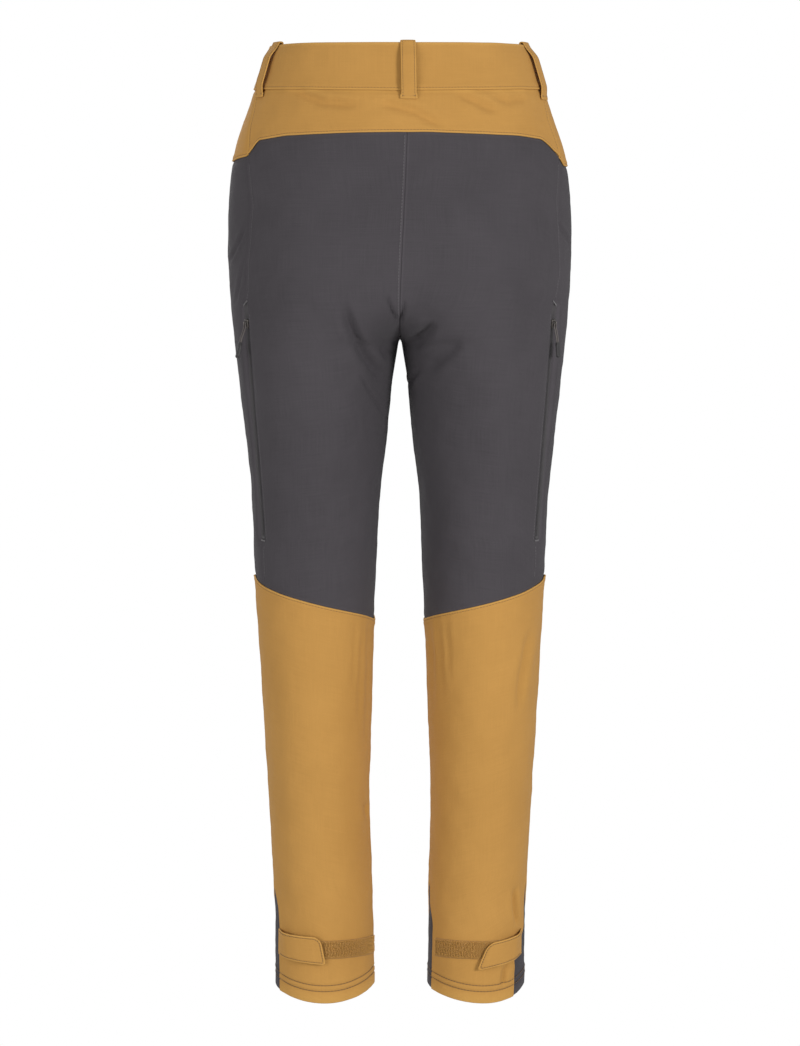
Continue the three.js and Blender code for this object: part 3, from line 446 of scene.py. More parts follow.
def cut_panel(name, side, left, right, top, bottom, rims, cell=0.0034, thick=0.0008, lift=0.0, slack=True):
    """A cloth panel between two edge lines and two seam lines, with its left, right, top and bottom rims."""
    left_rim, right_rim, top_rim, bottom_rim = rims
    middle_drop = 0.5 * (top(1.0) + bottom(1.0))
    turns = np.linspace(left(middle_drop), right(middle_drop), 40)
    wide = float(np.mean(stride(turns, middle_drop)) * abs(turns[-1] - turns[0]))
    columns = int(max(2, wide / cell)) + len(left_rim) + len(right_rim) - 2
    rows = int(max(2, (bottom(1.0) - top(1.0)) / cell)) + len(top_rim) + len(bottom_rim) - 2

    def lay(column, row, columns, rows):
        drop = top(1.0) + (bottom(1.0) - top(1.0)) * row / rows
        angle = left(drop)
        for _ in range(7):
            a, b = left(drop), right(drop)
            angle = laid_out(column, columns, a, b, left_rim, right_rim, stride(a, drop), stride(b, drop))
            drop = laid_out(row, rows, top(angle), bottom(angle), top_rim, bottom_rim, 1, 1)
        bare = on_body(side, angle, drop)
        outward = outward_of(side, angle, drop)
        stand = rim_stand(column, columns, left_rim, right_rim) + rim_stand(row, rows, top_rim, bottom_rim)
        stand = np.maximum(stand, -0.0016) + lift
        if slack:
            stand = stand + draped(bare, outward)
        return bare, stand, outward

    piece, size, area = cloth_grid(name, columns, rows, lay)
    wall = piece.modifiers.new("cloth_thickness", "SOLIDIFY")
    wall.thickness = thick
    wall.offset = -1
    return piece, size, area


def weave_group():
    """Plain weave from the thread map: how high each thread stands, and how its colour drifts, with painted
    shade between the threads and a painted highlight on their crowns.
    """
    group = bpy.data.node_groups.new("plain_weave", "ShaderNodeTree")
    face = group.interface
    face.new_socket("Light Thread", in_out="INPUT", socket_type="NodeSocketColor")
    face.new_socket("Dark Thread", in_out="INPUT", socket_type="NodeSocketColor")
    face.new_socket("Threads Per Metre", in_out="INPUT", socket_type="NodeSocketFloat")
    face.new_socket("Heather", in_out="INPUT", socket_type="NodeSocketFloat")
    face.new_socket("Color", in_out="OUTPUT", socket_type="NodeSocketColor")
    face.new_socket("Height", in_out="OUTPUT", socket_type="NodeSocketFloat")
    face.new_socket("Roughness", in_out="OUTPUT", socket_type="NodeSocketFloat")
    given = group.nodes.new("NodeGroupInput").outputs
    thread_map = add_node(group, "ShaderNodeUVMap", {"uv_map": "threads"})
    counted = add_node(group, "ShaderNodeVectorMath", {"operation": "SCALE"}, _0=thread_map.outputs[0],
                       Scale=given["Threads Per Metre"])
    parts = add_node(group, "ShaderNodeSeparateXYZ", None, _0=counted.outputs[0])

    def maths(kind, first, second=0.0, third=0.0):
        node = add_node(group, "ShaderNodeMath", {"operation": kind}, _0=first, _1=second, _2=third)
        return node.outputs[0]

    warp = maths("ABSOLUTE", maths("SINE", maths("MULTIPLY", parts.outputs[0], math.pi)))
    weft = maths("ABSOLUTE", maths("SINE", maths("MULTIPLY", parts.outputs[1], math.pi)))
    crossing = maths("ADD", maths("FLOOR", parts.outputs[0]), maths("FLOOR", parts.outputs[1]))
    checker = maths("FLOORED_MODULO", crossing, 2)
    woven = add_node(group, "ShaderNodeMix", {"data_type": "FLOAT"}, _0=checker, _2=warp, _3=weft).outputs[0]
    along_warp = add_node(group, "ShaderNodeVectorMath", {"operation": "MULTIPLY"}, _0=counted.outputs[0],
                          _1=(0.5, 0.012, 1)).outputs[0]
    along_weft = add_node(group, "ShaderNodeVectorMath", {"operation": "MULTIPLY"}, _0=counted.outputs[0],
                          _1=(0.012, 0.5, 1)).outputs[0]
    slub_warp = add_node(group, "ShaderNodeTexNoise", None, Vector=along_warp, Scale=1.0,
                         Detail=2.0).outputs[0]
    slub_weft = add_node(group, "ShaderNodeTexNoise", None, Vector=along_weft, Scale=1.0,
                         Detail=2.0).outputs[0]
    slub = add_node(group, "ShaderNodeMix", {"data_type": "FLOAT"}, _0=checker,
                    _2=slub_warp, _3=slub_weft).outputs[0]
    where = add_node(group, "ShaderNodeTexCoord").outputs["Object"]
    wash = add_node(group, "ShaderNodeTexNoise", None, Vector=where, Scale=14.0, Detail=3.0).outputs[0]
    tone_and_weave_shade = maths("MULTIPLY_ADD", maths("SUBTRACT", slub, 0.5), given["Heather"], 0.5)
    tone_and_weave_shade = maths("MULTIPLY_ADD", maths("SUBTRACT", wash, 0.5), 0.55, tone_and_weave_shade)
    # Painted shade and highlight: the colour follows the weave height, darker in the hollows between threads
    # and lighter on their crowns.
    tone_and_weave_shade = maths("MULTIPLY_ADD", maths("SUBTRACT", woven, 0.6), 0.35, tone_and_weave_shade)
    mixed = add_node(group, "ShaderNodeMix", {"data_type": "RGBA"}, _0=tone_and_weave_shade, _6=given["Dark Thread"],
                     _7=given["Light Thread"]).outputs[2]
    given_out = group.nodes.new("NodeGroupOutput").inputs
    group.links.new(mixed, given_out["Color"])
    group.links.new(maths("MULTIPLY_ADD", slub, 0.4, woven), given_out["Height"])
    group.links.new(maths("MULTIPLY_ADD", slub, 0.12, 0.8), given_out["Roughness"])
    return group


plain_weave = weave_group()


def cloth_finish(name, light, dark, threads, heather, depth, sheen, edge_highlight_strength=0.13):
    """A woven cloth: thread colours, threads a metre, colour drift, weave depth, sheen, and a painted
    highlight on the fold edges, standing in for light caught by the raised fold.
    """
    finish = bpy.data.materials.new(name)
    finish.use_nodes = True
    tree = finish.node_tree
    shader = tree.nodes["Principled BSDF"]
    weave = tree.nodes.new("ShaderNodeGroup")
    weave.node_tree = plain_weave
    weave.inputs["Light Thread"].default_value = (*light, 1)
    weave.inputs["Dark Thread"].default_value = (*dark, 1)
    weave.inputs["Threads Per Metre"].default_value = threads
    weave.inputs["Heather"].default_value = heather
    relief = add_node(tree, "ShaderNodeBump", None, Strength=0.55, Distance=depth,
                      Height=weave.outputs["Height"])
    # Painted highlight: near each panel edge the colour is mixed towards a much paler thread colour, standing
    # in for light caught by the raised fold.
    at_edge = add_node(tree, "ShaderNodeAttribute", {"attribute_name": "fold_edge"}).outputs["Fac"]
    highlight_share = add_node(tree, "ShaderNodeMath", {"operation": "MULTIPLY"}, _0=at_edge, _1=edge_highlight_strength).outputs[0]
    painted_edge_highlight = add_node(tree, "ShaderNodeMix", {"data_type": "RGBA"}, _0=highlight_share, _6=weave.outputs["Color"],
                      _7=(*[min(1, 2.2 * c) for c in light], 1)).outputs[2]
    tree.links.new(painted_edge_highlight, shader.inputs["Base Color"])
    tree.links.new(weave.outputs["Roughness"], shader.inputs["Roughness"])
    tree.links.new(relief.outputs[0], shader.inputs["Normal"])
    shader.inputs["Sheen Weight"].default_value = sheen
    shader.inputs["Sheen Roughness"].default_value = 0.45
    shader.inputs["Specular IOR Level"].default_value = 0.25
    return finish


charcoal = cloth_finish("charcoal_stretch_weave", (0.070, 0.063, 0.070), (0.036, 0.032, 0.036), 2100, 0.9,
                        0.00012, 0.04)


def dress(piece, finish, slot, body, *nodes):
    """Gives a piece its finish and ties it to the frame."""
    if not piece.data.materials:
        piece.data.materials.append(finish)
    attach(piece, body)
    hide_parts(*nodes)


def yoke_of(side):
    """The yoke's lower edge: level behind, swept down to the side seam, more gently on the right."""
    def line(angle):
        turn = np.abs(angle) / degrees
        if side > 0:
            back = 0.096 + 0.034 * (0.08 * ease((90 - turn) / 50) + 0.10 * ease((48 - turn) / 20)
                                    + 0.45 * ease((32 - turn) / 14) + 0.37 * ease((21 - turn) / 8))
            return np.where(np.asarray(angle) < 0, 0.130 - 0.034 * ease(turn / 90), back)
        back = 0.096 + 0.029 * (0.10 * ease((90 - turn) / 50) + 0.13 * ease((48 - turn) / 18)
                                + 0.60 * ease((31.5 - turn) / 9.5) + 0.17 * ease((26 - turn) / 26))
        return np.where(np.asarray(angle) < 0, 0.125 - 0.029 * ease(turn / 90), back)
    return line


def yoke_behind(angle):
    """The same edge all round the back, from the right side to the left."""
    return np.where(angle > math.pi / 2, yoke_of(-1)(math.pi - angle), yoke_of(1)(angle))


def knee_seam(angle):
    turn = np.abs(angle)
    turn = np.where(turn > math.pi, 2 * math.pi - turn, turn)
    return 0.571 + 0.049 * turn / math.pi


def valley_depth(drop, sign):
    _, _, end, back, front = section(np.asarray(drop, float))
    return (back if sign > 0 else front) * np.sin(end)


def valley_drop(depth, sign):
    """The drop at which the middle of the crotch is this far behind or before the side line."""
    high, low = np.full(np.shape(depth), rise - 0.06), np.full(np.shape(depth), rise)
    for _ in range(30):
        mid = (high + low) / 2
        deeper = valley_depth(mid, sign) > depth
        high, low = np.where(deeper, mid, high), np.where(deeper, low, mid)
    return low


gusset_tops = {sign: float(valley_drop(gusset_half, sign)) for sign in (1, -1)}


def gusset_edge(drop, sign):
    t = (gusset_end - drop) / (gusset_end - gusset_tops[sign])
    return gusset_tip + (gusset_half - gusset_tip) * np.clip(t, 0, 1)


def inner_limit(drop, sign):
    """Where a thigh panel ends on the inside: the middle, then the crotch gusset, then the inseam."""
    drop = np.asarray(drop, float)
    _, _, end, back, front = section(drop)
    low = drop > gusset_tops[sign]
    edge = np.where(low & (drop < gusset_end + gusset_tip), gusset_edge(drop, sign), 0)
    return np.where(low, math.pi - np.arcsin(np.clip(edge / (back if sign > 0 else front), 0, 1)), end)


def zip_recess(drop, top, bottom, reach):
    """reach along a zip, nothing elsewhere, with a short run between."""
    return reach * ease(np.minimum(drop - top + 0.006, bottom - drop + 0.006) / 0.006)


def seat_seam_shift(drop):
    """The seat seam starts a little to the wearer's right of the middle."""
    return 0.0055 * np.clip((0.27 - drop) / 0.17, 0, 1)


for label, side in sides.items():
    piece, size, area = cut_panel(
        f"seat_and_thigh_back_{label}", side,
        lambda d: (side_seam(d, side)
                   + zip_recess(d, side_zip_top - garage, side_zip_end, zip_lip) / stride(side_seam(d), d)),
        lambda d: inner_limit(d, 1) - side * seat_seam_shift(d) / 0.13,
        yoke_of(side), knee_seam, (lapped, butted, tucked, tucked))
    dress(piece, charcoal, "charcoal_cloth", "garment", f"back_panel_{label}")


# Stitches: 0.5 mm polyester thread, six to eight stitches to the inch, lying in the groove they pull.
# Every row belongs to one piece of thread work on one part of the garment.
stitch_length, stitch_pitch, stitch_thick = 0.0026, 0.0034, 0.00055


def thread_finish(name, light, dark):
    finish = bpy.data.materials.new(name)
    finish.use_nodes = True
    tree = finish.node_tree
    shader = tree.nodes["Principled BSDF"]
    where = add_node(tree, "ShaderNodeTexCoord").outputs["Object"]
    twist = add_node(tree, "ShaderNodeTexWave", {"bands_direction": "DIAGONAL"}, Vector=where, Scale=900.0,
                     Distortion=2.0).outputs[1]
    ramp = add_node(tree, "ShaderNodeMix", {"data_type": "RGBA"}, _0=twist, _6=(*dark, 1),
                    _7=(*light, 1)).outputs[2]
    tree.links.new(ramp, shader.inputs["Base Color"])
    relief = add_node(tree, "ShaderNodeBump", None, Strength=0.4, Distance=0.0001, Height=twist)
    tree.links.new(relief.outputs[0], shader.inputs["Normal"])
    shader.inputs["Roughness"].default_value = 0.6
    shader.inputs["Sheen Weight"].default_value = 0.2
    return finish


charcoal_thread = thread_finish("charcoal_thread", (0.16, 0.15, 0.155), (0.07, 0.065, 0.07))
dark_thread = thread_finish("dark_ochre_thread", (0.15, 0.075, 0.022), (0.075, 0.038, 0.012))


def copies(name, bm, centre, basis, finish, body):
    """One piece made of many copies of a small shape, each at its own centre and turned to its own axes."""
    single = bpy.data.meshes.new("single_shape")
    bm.to_mesh(single)
    bm.free()
    shape = np.array([v.co for v in single.vertices])
    places = (np.einsum("vk,nkc->nvc", shape, basis) + centre[:, None, :]).reshape(-1, 3)
    count = len(shape)
    faces = [tuple(v + n * count for v in face.vertices)
             for n in range(len(centre)) for face in single.polygons]
    bpy.data.meshes.remove(single)
    mesh = bpy.data.meshes.new(name)
    mesh.from_pydata(places.tolist(), [], faces)
    mesh.polygons.foreach_set("use_smooth", [True] * len(mesh.polygons))
    piece = bpy.data.objects.new(name, mesh)
    studio.collection.objects.link(piece)
    piece.data.materials.append(finish)
    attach(piece, body)
    return piece


def sewn(name, rows, finish, body="garment", pitch=stitch_pitch, length=stitch_length,
         thick=stitch_thick):
    """Thread work along rows of (places, outward directions)."""
    bm = bmesh.new()
    bmesh.ops.create_uvsphere(bm, u_segments=6, v_segments=4, radius=0.5)
    bmesh.ops.rotate(bm, matrix=Matrix.Rotation(math.pi / 2, 3, "Y"), verts=bm.verts)
    bmesh.ops.scale(bm, vec=(length, thick, thick), verts=bm.verts)
    centres, bases = [], []
    for places, outward in rows:
        run = np.concatenate([[0], np.linalg.norm(np.diff(places, axis=0), axis=1).cumsum()])
        spots = np.arange(pitch / 2, run[-1] - pitch / 4, pitch)
        if not len(spots):
            continue
        centre, ahead, behind, up = (
            np.stack([np.interp(at, run, line[:, k]) for k in range(3)], axis=1)
            for at, line in ((spots, places), (spots + pitch / 3, places), (spots - pitch / 3, places),
                             (spots, outward)))
        along = ahead - behind
        along /= np.linalg.norm(along, axis=1, keepdims=True)
        across = np.cross(up, along)
        across /= np.linalg.norm(across, axis=1, keepdims=True)
        centres.append(centre)
        bases.append(np.stack([along, across, np.cross(along, across)], axis=1))
    return copies(name, bm, np.concatenate(centres), np.concatenate(bases), finish, body)


def seam_row(side, angles, drops, stand=0.0002):
    """Places along a line on the cloth, given as turns and drops of equal count."""
    angles, drops = np.broadcast_arrays(np.asarray(angles, float), np.asarray(drops, float))
    bare = on_body(side, angles, drops)
    outward = outward_of(side, angles, drops)
    return bare + outward * (draped(bare, outward) + stand)[:, None], outward


def down_line(line, start, stop, inset=0.0, steps=240):
    """Turns and drops down an edge line, inset metres of cloth from it."""
    drops = np.linspace(start, stop, steps)
    angles = line(drops)
    return angles + inset / stride(angles, drops), drops


def round_line(line, start, stop, inset=0.0, steps=240):
    """Turns and drops along a seam line that runs round the body, inset metres below it."""
    angles = np.linspace(start, stop, steps)
    return angles, line(angles) + inset


rows = []
for label, side in sides.items():
    rows.append(seam_row(side, *down_line(lambda d: side_seam(d, side), 0.128, side_zip_top - garage - 0.006,
                                          0.0025)))
    rows.append(seam_row(side, *down_line(side_seam, side_zip_end + 0.008, 0.572, 0.0025, 60)))
    rows.append(seam_row(side, *down_line(side_seam, side_zip_top - 0.006, side_zip_end + 0.006,
                                          0.0025 + zip_lip)))
rows.append(seam_row(-1, *down_line(lambda d: inner_limit(d, 1) + seat_seam_shift(d) / 0.13, 0.099, 0.285,
                                    -0.0024)))
sewn("seat_and_side_topstitch", rows, charcoal_thread)


# Thigh sides: a strip of the same stretch cloth between the thigh zip and the hand-pocket zip.
# Its edges run under the back and front panels, and stand clear of the two coils.
for label, side in sides.items():
    piece, size, area = cut_panel(
        f"thigh_side_{label}", side,
        lambda d: (front_seam(d) + zip_recess(d, hand_zip_top, hand_zip_bottom + 0.003, zip_lip + 0.006)
                   / stride(front_seam(d), d)),
        lambda d: (side_seam(d, side) - zip_recess(d, side_zip_top - garage, side_zip_end, zip_lip + 0.006)
                   / stride(side_seam(d), d)),
        yoke_of(side), knee_seam, (tucked, tucked, tucked, tucked))
    dress(piece, charcoal, "charcoal_cloth", "garment", f"side_panel_{label}")


# Front thighs: the same cloth, lapped over the side strips and, at the fly, right over left.
# A curved double row holds the fly facing behind the right one.
fly_bottom = 0.196


def fly_lap(drop):
    return 0.010 * ease((fly_bottom + 0.006 - drop) / 0.02)


def front_limit(drop, side):
    end = inner_limit(drop, -1)
    return -(end + side * fly_lap(drop) / 0.10)


for label, side in sides.items():
    piece, size, area = cut_panel(
        f"thigh_front_{label}", side,
        lambda d: front_limit(d, side),
        lambda d: (front_seam(d)
                   - zip_recess(d, hand_zip_top, hand_zip_bottom + 0.003, zip_lip) / stride(front_seam(d),
                                                                                            d)),
        yoke_of(side), knee_seam, (lapped if side > 0 else tucked, lapped, tucked, tucked))
    dress(piece, charcoal, "charcoal_cloth", "garment", f"front_panel_{label}")


def fly_row(reach, start, steps=160):
    """A fly row reach metres to the wearer's right of the middle, turning in at the bottom."""
    drops = np.linspace(start, fly_bottom, steps)
    turn_in = fly_bottom - 0.036
    x = reach * np.sqrt(np.clip(1 - (np.maximum(drops - turn_in, 0) / (fly_bottom - turn_in)) ** 2, 0, 1))
    centre, half, _, _, _ = section(drops)
    return seam_row(1, -np.arccos(np.clip((x - centre) / half, -1, 1)), drops)


rows = [fly_row(0.034, 0.122), fly_row(0.029, 0.122)]
for label, side in sides.items():
    rows.append(seam_row(side, *down_line(front_seam, 0.122, hand_zip_top - 0.008, -0.0025, 40)))
    rows.append(seam_row(side, *down_line(front_seam, hand_zip_bottom + 0.008, 0.570, -0.0025)))
    rows.append(seam_row(side, *down_line(front_seam, hand_zip_top - 0.005, hand_zip_bottom + 0.005,
                                          -0.0025 - zip_lip)))
rows.append(seam_row(1, *down_line(lambda d: front_limit(d, 1), fly_bottom + 0.004, 0.300, 0.0025, 80)))
sewn("fly_and_front_topstitch", rows, charcoal_thread)


# Crotch gusset: one pointed strip of the same cloth down the inside of both thighs.
# It is sewn under the four thigh panels, so that the legs can part without pulling.
def lay_gusset(column, row, columns, rows):
    share = 2 * column / columns - 1
    side = np.where(share < 0, -1, 1)
    run = 1 - np.abs(share)
    across = 2 * row / rows - 1
    drop = rise + (gusset_end - rise) * (1 - run)
    for _ in range(8):
        edge = np.where(across < 0, gusset_edge(drop, 1), gusset_edge(drop, -1)) + 0.005
        y = across * edge
        start = np.where(y < 0, valley_drop(np.abs(y), 1), valley_drop(np.abs(y), -1)) + 0.0005
        drop = start + (gusset_end + 0.004 - start) * (1 - run)
    _, _, end, back, front = section(drop)
    depth = np.where(y < 0, back, front)
    turn = np.minimum(end, math.pi - np.arcsin(np.clip(np.abs(y) / depth, 0, 1)))
    bare = on_body(side, np.where(y < 0, turn, -turn), drop)
    middle = run > 0.999
    bare[middle] = np.stack([np.zeros(middle.sum()), y[middle], -drop[middle]], axis=1)
    net = np.zeros((rows + 1, columns + 1, 3))
    net[row, column] = bare
    facing = np.cross(np.gradient(net, axis=1), np.gradient(net, axis=0))
    facing /= np.linalg.norm(facing, axis=2, keepdims=True)
    if facing[rows // 2, columns // 2, 2] > 0:
        facing = -facing
    outward = facing[row, column]
    return bare, np.full(len(row), -0.0012), outward


piece, size, area = cloth_grid("crotch_gusset_cloth", 72, 26, lay_gusset)
wall = piece.modifiers.new("cloth_thickness", "SOLIDIFY")
wall.thickness = 0.0008
wall.offset = -1
dress(piece, charcoal, "charcoal_cloth", "garment", "crotch_gusset")


# Yoke: a plain-woven cloth with a little stretch, one piece round the back and one each side of the fly.
# Its lower edge is folded in, lapped over the seat and topstitched close to the fold.
ochre = cloth_finish("ochre_plain_weave", (0.52, 0.275, 0.070), (0.375, 0.19, 0.043), 2300, 0.8, 0.00012,
                     0.04)
band_height = 0.048


def waist_edge(angle):
    """The top edge dips a little at the middle of the back."""
    return 0.0026 * np.maximum(np.sin(angle), 0) ** 2


def band_seam(angle):
    """The band's lower seam dips rather more there."""
    return band_height + 0.0046 * np.maximum(np.sin(angle), 0) ** 2


piece, size, area = cut_panel(
    "yoke_back_cloth", 1, lambda d: side_seam(d, 1), lambda d: 2 * section(d)[2] - side_seam(d),
    band_seam, yoke_behind, (lapped, lapped, tucked, lapped), lift=0.0004)
dress(piece, ochre, "ochre_cloth", "garment", "yoke_back")
for label, side in sides.items():
    piece, size, area = cut_panel(
        f"yoke_front_cloth_{label}", side,
        lambda d: -(section(d)[2] + side * 0.010 / 0.10), lambda d: side_seam(d, side),
        band_seam,
        lambda angle: yoke_of(side)(np.maximum(angle, -math.pi / 2)),
        (lapped if side > 0 else tucked, tucked, tucked, lapped), lift=0.0004)
    dress(piece, ochre, "ochre_cloth", "garment", f"yoke_front_{label}")

rows = [fly_row(0.034, 0.052, 90), fly_row(0.029, 0.052, 90)]
rows = [(places[places[:, 2] > -0.096], outward[places[:, 2] > -0.096]) for places, outward in rows]
for label, side in sides.items():
    rows.append(seam_row(side, *round_line(yoke_of(side), 0.0, math.pi / 2, -0.0025), stand=0.0006))
    rows.append(seam_row(side, *round_line(yoke_of(side), -math.pi / 2 + 0.02, 0.0, -0.0025), stand=0.0006))
    rows.append(seam_row(side, *down_line(lambda d: side_seam(d, side), 0.051, 0.118, 0.0025, 60),
                         stand=0.0006))
sewn("yoke_topstitch", rows, dark_thread)


# Waistband: a doubled band 48 mm high, 50 mm behind, in one piece behind and one each side of the fly.
# Its top edge is a fold; the bottom edge is folded in and stitched over the yoke. A lining closes the inside.
def flat_line(value):
    """An edge at one drop all round."""
    return lambda angle: value + 0 * angle


band_rims = (butted, butted, folded, lapped)
piece, size, area = cut_panel(
    "waistband_back_cloth", 1, lambda d: side_seam(d, 1), lambda d: 2 * section(d)[2] - side_seam(d),
    waist_edge, band_seam, band_rims, thick=0.0018, lift=0.0010)
dress(piece, ochre, "ochre_cloth", "garment", "waistband_back")
band_ends = {"right": 0.014, "left": 0.010}
for label, side in sides.items():
    piece, size, area = cut_panel(
        f"waistband_front_cloth_{label}", side,
        lambda d: -np.arccos(band_ends[label] / section(d)[1]), lambda d: side_seam(d, side),
        waist_edge, band_seam, (folded, butted, folded, lapped), thick=0.0018, lift=0.0010)
    dress(piece, ochre, "ochre_cloth", "garment", f"waistband_front_{label}")
piece, size, area = cut_panel(
    "waistband_lining_cloth", 1, lambda d: -np.arccos(0.030 / section(d)[1]),
    lambda d: 2 * section(d)[2] + np.arccos(0.030 / section(d)[1]),
    lambda angle: waist_edge(angle) + 0.0012, flat_line(0.046), (folded, folded, folded, folded),
    thick=0.0007, lift=-0.0022)
dress(piece, ochre, "ochre_cloth", "garment", "waistband_facing")

rows = []
for label, side in sides.items():
    start = -math.pi / 2 + band_ends[label] / 0.15 + 0.01
    rows.append(seam_row(side, *round_line(band_seam, start, math.pi / 2, -0.0027), stand=0.0011))
sewn("waistband_topstitch", rows, dark_thread)


# Lower legs: a calf panel behind and a shin panel before, of the same cloth as the yoke.
# Each is lapped over the thigh at the knee, and turned up 20 mm at the hem under two rows of stitches.
gusset_angles = {
    "right": {"outer": (-22, 35), "inner": (143, 202)},
    "left": {"outer": (-32, 26), "inner": (160, 212)},
}
gusset_start = 0.905
hem_rows = (0.0135, 0.0200)


def hem_of(side):
    """The hem dips behind, deepest a little to the outside on the right leg."""
    shift = 14 * degrees if side > 0 else -2 * degrees
    def hem(angle):
        behind = np.maximum(np.sin(angle + shift * np.sin(angle)), 0)
        return outseam + 0.0022 + 0.0110 * behind ** 1.6

    return hem


def gusset_line(rest, low):
    def edge(drop):
        share = np.maximum(0, (drop - gusset_start) / (outseam - gusset_start))
        return rest + (degrees * low - rest) * share

    return edge


# The wedges' edges that show from behind open quickly below the seam's end, then run straight to the hem.
seen_edges = {
    "outer_left": lambda drop: degrees * 28 * ease((drop - 0.893) / 0.045),
    "inner_left": lambda drop: degrees * (180 - 3 * ease((drop - 0.905) / 0.05)),
    "outer_right": lambda drop: degrees * (20 * ease((drop - 0.893) / 0.020)
                                           + 21 * ease((drop - 0.955) / 0.030)),
    "inner_right": lambda drop: degrees * (180 - 14 * ease((drop - 0.902) / 0.012)
                                           - 12 * ease((drop - 0.925) / 0.030)),
}


for label, side in sides.items():
    outer, inner = gusset_angles[label]["outer"], gusset_angles[label]["inner"]
    outer_back, outer_front = seen_edges[f"outer_{label}"], gusset_line(2 * math.pi, outer[0] + 360)
    inner_back, inner_front = seen_edges[f"inner_{label}"], gusset_line(math.pi, inner[1])
    hem_line = hem_of(side)
    leg_rims = (lapped, lapped, lapped, hemmed)
    piece, size, area = cut_panel(f"calf_cloth_{label}", side, outer_back, inner_back, knee_seam, hem_line,
                                  leg_rims, lift=0.0003)
    dress(piece, ochre, "ochre_cloth", "garment", f"calf_panel_{label}")
    piece, size, area = cut_panel(f"shin_cloth_{label}", side, inner_front, outer_front, knee_seam, hem_line,
                                  leg_rims, lift=0.0003)
    dress(piece, ochre, "ochre_cloth", "garment", f"shin_panel_{label}")

rows = []
for label, side in sides.items():
    rows.append(seam_row(side, *round_line(knee_seam, 0.03, 2 * math.pi - 0.03, 0.0025, 420), stand=0.0005))
sewn("knee_topstitch", rows, dark_thread)
rows = []
for label, side in sides.items():
    for height in hem_rows:
        rows.append(seam_row(side, *round_line(hem_of(side), 0, 2 * math.pi, -height, 420), stand=0.0004))
sewn("hem_stitches", rows, dark_thread, length=0.0031, pitch=0.0036, thick=0.0009)


# Ankle gussets: narrow wedges of the charcoal cloth let into the inner and outer leg seams.
# They give the hem the room that the ankle tab takes up again.
for label, side in sides.items():
    for place in ("outer", "inner"):
        first, last = gusset_angles[label][place]
        rest = 0 if place == "outer" else math.pi
        seen = seen_edges[f"{place}_{label}"]
        low, high = (gusset_line(rest, first), seen) if place == "outer" else (seen, gusset_line(rest, last))
        piece, size, area = cut_panel(
            f"ankle_wedge_{place}_{label}", side, low, high,
            flat_line(gusset_start - 0.004), hem_of(side), (tucked, tucked, folded, hemmed))
        dress(piece, charcoal, "charcoal_cloth", "garment", f"ankle_gusset_{place}_{label}")


# Belt loops: 16 mm strips of doubled cloth stitched along both edges, one behind and two on each side.
# Each goes over the top edge of the band, bows out for the belt and is bar-tacked at its turned-under foot.
loop_half, loop_foot = 0.008, 0.0535
loops = {
    "belt_loop_back": (1, math.pi / 2 - 0.009 / 0.157),
    "belt_loop_side_right": (1, 16 * degrees),
    "belt_loop_side_left": (-1, 20 * degrees),
    "belt_loop_front_right": (1, -52 * degrees),
    "belt_loop_front_left": (-1, -52 * degrees),
}
loop_tops = {"belt_loop_back": 0.0024, "belt_loop_side_right": 0.0003, "belt_loop_side_left": 0.0004}
loop_feet = {"belt_loop_back": 0.0598, "belt_loop_side_right": 0.0577, "belt_loop_side_left": 0.0553}
over_the_top = [(0.0100, -0.0040), (0.0010, -0.0042), (-0.0016, -0.0028), (-0.0022, -0.0004),
                (-0.0016, 0.0022)]


def loop_run(count, name):
    """Drops and stand-offs down the outside of a loop, from inside the band over its top to the foot."""
    run = np.linspace(0, 1, 90)
    lift = ease(np.minimum(run, 1 - run) / 0.26)
    loop_top, loop_drop = loop_tops.get(name, 0), loop_feet.get(name, loop_foot)
    down = np.stack([0.0008 + loop_top + run * (loop_drop - loop_top), 0.0030 + 0.0034 * lift], axis=1)
    foot = [(loop_drop + 0.0016, 0.0026), (loop_drop + 0.0019, 0.0014), (loop_drop + 0.0010, 0.0006)]
    points = np.concatenate([np.array(over_the_top) + (loop_top, 0), down, foot])
    length = np.concatenate([[0], np.linalg.norm(np.diff(points, axis=0), axis=1).cumsum()])
    at = np.linspace(0, length[-1], count)
    return np.stack([np.interp(at, length, points[:, k]) for k in range(2)], axis=1)


def loop_frame(side, angle):
    outward = outward_of(side, angle, band_height / 2) * (1, 1, 0)
    outward /= np.linalg.norm(outward)
    return outward, np.array([-outward[1], outward[0], 0])


def on_loop(side, angle, across, drop, stand):
    outward, sideways = loop_frame(side, angle)
    spot = on_body(side, angle, np.maximum(drop, 0))
    facing = np.broadcast_to(outward, spot.shape)
    stand = stand - hip_ease(spot, facing)
    spot[..., 2] = -drop
    return spot + np.multiply.outer(across, sideways) + np.multiply.outer(stand, outward)


